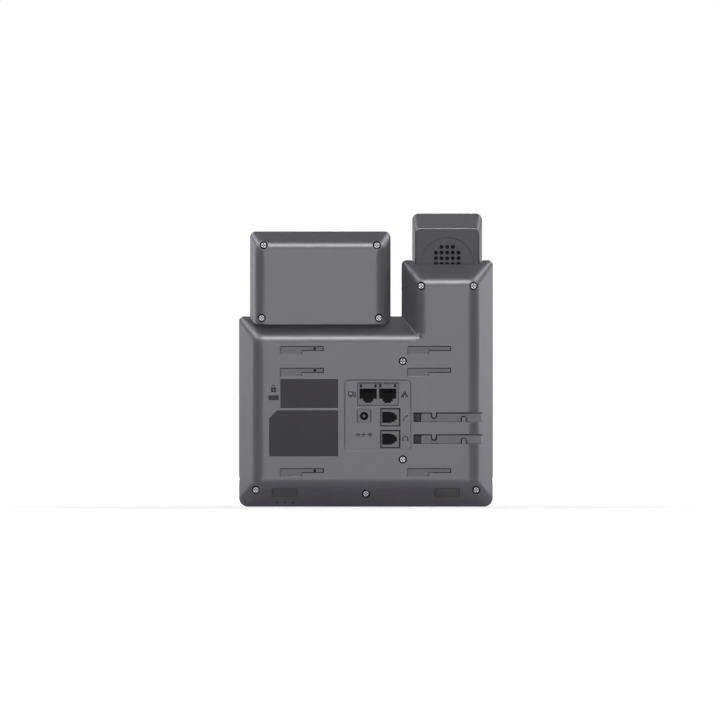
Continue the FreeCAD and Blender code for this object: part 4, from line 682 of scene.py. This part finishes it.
# %% Painted shade lines in the stand slots
SLOT_Y = 21.5
SLOT_COLUMNS, SLOT_TOPS = (30.5, -61.2), (115.6, 99.9, 27.6)
BEND = 0.9
slot_shade_rules = []
for left in SLOT_COLUMNS:
    for top in SLOT_TOPS:
        end, mouth, far = -(left + 0.25), -(left + 15.9), -(left + 31.05)
        neck, low = top - 3.15, top - 5.65
        bent = arc((mouth + BEND, neck - BEND), BEND, 180, 90, 6)
        # painted shade: dark lines along the neck, the end and the top edge of the slot, where its walls
        # cast a shadow on its floor
        slot_shade_rules.append(rule([(mouth, low), *bent, (end, neck), (end, top - 0.25)], 0.55, LOW, HIGH))
        slot_shade_rules.append(rule([(end, top - 0.2), (far, top - 0.2)], 0.4, LOW, HIGH))
        # painted shade: a dark patch in the slots of this column, standing in for the shade in a snap hole
        if left > 0:
            slot_shade_rules.append(plate(box_outline(-37.8, top - 2.6, -36.0, top - 0.8), LOW, 0.3))
points, faces = gather(slot_shade_rules)
add_piece("slot_painted_shade_lines", on_back(points, 0, 0, SLOT_Y), faces, seam_and_shade_dark, "base")
print("slot lines:", len(slot_shade_rules))

# %% Painted shade round each tab and on the pit floors of the cord channels
CHANNEL_Y, CHANNEL_START, CHANNEL_END, CHANNEL_HALF = 21.2, 34.5, 84.0, 3.4
TAB_LOW, TAB_HIGH = 4.45, 5.1
cup = np.vstack([(-1.75, 0.1), arc((-0.35, 2.6), 1.4, 180, 90, 8), arc((0.35, 2.6), 1.4, 90, 0, 8),
                 (1.75, 0.1)])
channel_shade_rules = []
for z in JACK_ROWS:
    low, high = z - CHANNEL_HALF, z + CHANNEL_HALF
    # painted shade: a dark line under the top edge of the channel and a thin one along its lower edge
    for height, width in ((high - 0.35, 0.7), (low + 0.15, 0.2)):
        channel_shade_rules.append(rule([(CHANNEL_START, height), (CHANNEL_END, height)], width, LOW, HIGH))
    # painted shade: a dark U round each tab, where the gap round it lies in shadow, and two short dark
    # rules on the far edge
    for middle, edge, way in ((49.0, high, -1), (70.4, low, 1)):
        channel_shade_rules.append(rule(cup * (1, way) + (middle, edge), 0.7, TAB_LOW, TAB_HIGH))
        other = low + 0.35 if way < 0 else high - 0.35
        channel_shade_rules += [rule([(middle + side - 0.6, other), (middle + side + 0.6, other)], 0.4, LOW, 0.1)
                 for side in (-1.3, 1.3)]
points, faces = gather(channel_shade_rules)
add_piece("channel_painted_shade_lines", on_back(points, 0, 0, CHANNEL_Y), faces, seam_and_shade_dark, "base")
# painted shade: dark plates in the rubber finish on the pit floors stand in for the shade of the deeper
# hole
pit_shade_plates = [plate(box_outline(34.4, z - 3.3, 39.6, z + 3.3), -1.22, -1.1) for z in JACK_ROWS]
points, faces = gather(pit_shade_plates)
add_piece("channel_pit_shade_pads", on_back(points, 0, 0, CHANNEL_Y), faces, rubber, "base")
print("channel lines:", len(channel_shade_rules))

# %% [markdown]
# ## Painted shade in the screw wells
#
# Each screw sits in a well a little wider than its head. The shade in the gap round the head, on the
# edge of the head and in the arms of its cross is painted: rings and four short rules in a dark finish
# draw it. The table gives each screw's place and the depth of its seat below the flat back.

# %% Painted shade: dark rings and crosses of the screws
seats = {
    "base": [(79.4, 12.1, 7.8), (-79.4, 12.1, 7.8), (0.0, 9.4, 10.8), (-39.75, 159.0, 3.4),
             (-77.45, 159.0, 3.4), (-26.5, 104.8, 3.4), (-26.5, 34.1, 3.4)],
    "display": [(32.9 + 40.8, 188.4, 7.4), (32.9 - 40.8, 188.4, 7.4), (32.9 + 42.2, 136.0, 7.4),
                (32.9 - 42.2, 136.0, 7.4)],
}
HEAD_HEIGHT = 1.8
for body, rows in seats.items():
    shapes = []
    for across, up, seat in rows:
        head = HEAD_HEIGHT - seat
        # painted shade filling the gap between the head and the wall of the well
        shapes.append(ring((-across, up), 2.6, 0.56, LOW - seat, head - 0.2))
        # painted shade on the edge of the head
        shapes.append(ring((-across, up), 2.08, 0.46, head + LOW, head + HIGH))
        # painted shade in the four arms of the cross
        for step in ((1, 0), (-1, 0), (0, 1), (0, -1)):
            arm = np.outer((0.5, 1.6), step) + (-across, up)
            shapes.append(rule(arm, 0.86, head + LOW, head + HIGH))
    points, faces = gather(shapes)
    add_piece(f"{body}_screw_painted_shade", on_back(points, 0, 0, BACK_Y), faces, seam_and_shade_dark, body)
print("screws marked:", sum(len(rows) for rows in seats.values()))

# %% [markdown]
# ## Pocket behind the lock slot
#
# A security lock turns its bar behind the wall, in a small closed pocket. Without it the green board
# would show through the slot. The pocket is a floor plate with a rule as tall as the pocket for its walls.

# %% Lock pocket
pocket = [plate(box_outline(-5.2, -3.2, 5.2, 3.2), 0.0, 0.8),
          rule(box_outline(-4.8, -2.8, 4.8, 2.8), 0.8, 0.4, 3.9, closed=True)]
points, faces = gather(pocket)
add_piece("lock_pocket", on_back(points, LOCK_X, 78.4, 20.45), faces, seam_and_shade_grey, "base")
print("lock pocket:", len(points), "points")

# %% [markdown]
# ## Contacts and light pipes in the jacks
#
# Deep in each network port lie eight sprung contacts, and two small light pipes sit above it. Contacts
# are round wires carried along a bent path, and the pipes are pillow-shaped lenses.


# %% Contact wires
def wire(path, radius, steps=8):
    """A round wire along a path in depth and height: each ring of points stands across the path."""
    path = np.asarray(path, float)
    along = np.gradient(path, axis=0)
    along /= np.linalg.norm(along, axis=1, keepdims=True)
    normal = np.stack([-along[:, 1], along[:, 0]], 1)
    turn = np.linspace(0, 2 * np.pi, steps, endpoint=False)
    points = np.zeros((len(path), steps, 3))
    points[..., 0] = radius * np.cos(turn)
    points[..., 1:] = path[:, None] + radius * np.sin(turn)[None, :, None] * normal[:, None]
    level = np.arange(len(path) - 1)[:, None] * steps
    here = np.arange(steps)[None]
    there = (here + 1) % steps
    quads = np.stack([level + here, level + there, level + steps + there, level + steps + here], -1)
    last = (len(path) - 1) * steps
    return points.reshape(-1, 3), quads.reshape(-1, 4).tolist() + [
        here[0][::-1].tolist(), (last + here[0]).tolist()]


bend = np.array([(14.6, 84.6), (16.5, 84.4), (18.6, 83.4), (19.6, 81.9)])
NETWORK_PORTS = (-1.6, -15.6)
CONTACT_PITCH = 1.02
points, faces = wire(bend, 0.18)
contacts = [(points + (middle + step * CONTACT_PITCH, 0, 0), faces)
            for middle in NETWORK_PORTS for step in np.arange(8) - 3.5]
points, faces = gather(contacts)
add_piece("network_contacts", points, faces, gold, "base")
print("contact wires:", len(contacts))


# %% Light pipes
def pillow(middle, half, low, high):
    """A dome pushed out until its rings are squares with round corners, then stretched to an oblong."""
    points, faces = dome((0, 0), 1.0, low, high)
    flat = points[:, :2]
    square = (flat ** 4).sum(1, keepdims=True) ** 0.25
    reach = np.linalg.norm(flat, axis=1, keepdims=True)
    points[:, :2] = flat * reach / np.maximum(square, 1e-9) * half + middle
    return points, faces


pipes = [pillow((-(port + side), 87.1), (0.74, 1.19), -1.2, -0.6)
         for port in NETWORK_PORTS for side in (-5.3, 5.3)]
points, faces = gather(pipes)
add_piece("light_pipes", on_back(points, 0, 0, BACK_Y), faces, smoked, "base")
print("light pipes:", len(pipes))

# %% [markdown]
# ## Numbers and symbols on the keys
#
# The keypad side is not in the photograph, but a telephone needs its numbers. Blender's own typeface
# draws them: each character becomes a thin solid, is merged at its seams and is laid on the key it
# belongs to, so that it goes down with the key.


# %% Numbers on the dial keys
def glyph(character, size):
    """A character as a thin solid in millimetres, centred on its own middle."""
    letter = bpy.data.curves.new("glyph", "FONT")
    letter.body = character
    letter.size = size
    letter.extrude = 0.035
    letter.resolution_u = 4
    holder = bpy.data.objects.new("glyph", letter)
    mesh = bpy.data.meshes.new_from_object(holder)
    points = np.empty(3 * len(mesh.vertices))
    mesh.vertices.foreach_get("co", points)
    points = points.reshape(-1, 3)
    faces = [list(face.vertices) for face in mesh.polygons]
    bpy.data.objects.remove(holder)
    bpy.data.curves.remove(letter)
    bpy.data.meshes.remove(mesh)
    rounded, index = np.unique(np.round(points, 5), axis=0, return_inverse=True)
    rounded[:, :2] -= (rounded[:, :2].min(0) + rounded[:, :2].max(0)) / 2
    index = index.ravel()
    return rounded + (0, 0, 0.015), [[int(index[i]) for i in face] for face in faces]


def lay_on_key(key, shapes):
    """Lays a drawing on the middle of a key's face, and lets it move with the key."""
    low, high = (1000 * np.array(corner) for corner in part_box(key))
    points, faces = gather(shapes)
    placed = on_front(points, (low[0] + high[0]) / 2, (low[2] + high[2]) / 2, low[1])
    return add_piece(f"legend_{key}", placed, faces, legend_ink, key)


for character in "0123456789":
    lay_on_key(f"key_{character}", [glyph(character, 7.0)])
lay_on_key("key_hash", [glyph("#", 6.4)])
spokes = [line(*(2.1 * np.array([(np.cos(a), np.sin(a)), (-np.cos(a), -np.sin(a))])), width=0.6)
          for a in np.radians((30, 90, 150))]
lay_on_key("key_star", spokes)
print("dial keys marked: 12")

# %% Symbols on the other keys
capsule_shape = np.vstack([arc((0, 1.2), 0.75, 0, 180, 12), arc((0, -0.2), 0.75, 180, 360, 12)])
microphone = [plate(capsule_shape, LOW, HIGH), line(*arc((0, -0.1), 1.5, 180, 360)),
              line((0, -1.6), (0, -2.5)), line((-0.9, -2.5), (0.9, -2.5))]
headband = [line(*arc((0, -0.3), 2.2, 0, 180), width=0.5), line((-2.2, -0.4), (-2.2, -1.9), width=1.1),
            line((2.2, -0.4), (2.2, -1.9), width=1.1)]
cone_shape = [(-2.6, -0.8), (-1.6, -0.8), (-0.1, -2.1), (-0.1, 2.1), (-1.6, 0.8), (-2.6, 0.8)]
cone = [plate(cone_shape, LOW, HIGH),
        line(*arc((-0.3, 0), 1.5, -45, 45)), line(*arc((-0.3, 0), 2.6, -45, 45))]
arrow = [line((-2.6, 0), (1.4, 0), width=0.6),
         plate([(0.9, -1.5), (2.8, 0), (0.9, 1.5)], LOW, HIGH)]
bars = [plate(box_outline(x - 0.45, -1.8, x + 0.45, 1.8), LOW, HIGH) for x in (-1.1, 1.1)]
tick = [line((-1.8, 0.1), (-0.5, -1.3), (2.0, 1.5), width=0.6)]
lay_on_key("mute_key", microphone + [line((-2.0, 2.0), (2.0, -2.2), width=0.5)])
lay_on_key("headset_key", headband)
lay_on_key("speaker_key", cone)
lay_on_key("transfer_key", arrow)
lay_on_key("hold_key", bars)
lay_on_key("ok_key", tick)
MINUS, PLUS, ARM = -18.0, 18.0, 1.6
lay_on_key("volume_rocker", [line((MINUS - ARM, 0), (MINUS + ARM, 0), width=0.6),
                             line((PLUS - ARM, 0), (PLUS + ARM, 0), width=0.6),
                             line((PLUS, 0.35), (PLUS, ARM), width=0.6),
                             line((PLUS, -ARM), (PLUS, -0.35), width=0.6)])
for number in (1, 2, 3, 4):
    lay_on_key(f"soft_key_{number}", [line((-1.8, 0), (1.8, 0), width=0.5)])
    lay_on_key(f"line_key_{number}", [line((-1.2, 0), (1.2, 0), width=0.5)])
for key, turn in (("nav_right", 0), ("nav_up", 90), ("nav_left", 180), ("nav_down", 270)):
    lay_on_key(key, [plate(arc((0, 0), 1.5, turn, turn + 360, 4)[:-1], LOW, HIGH)])
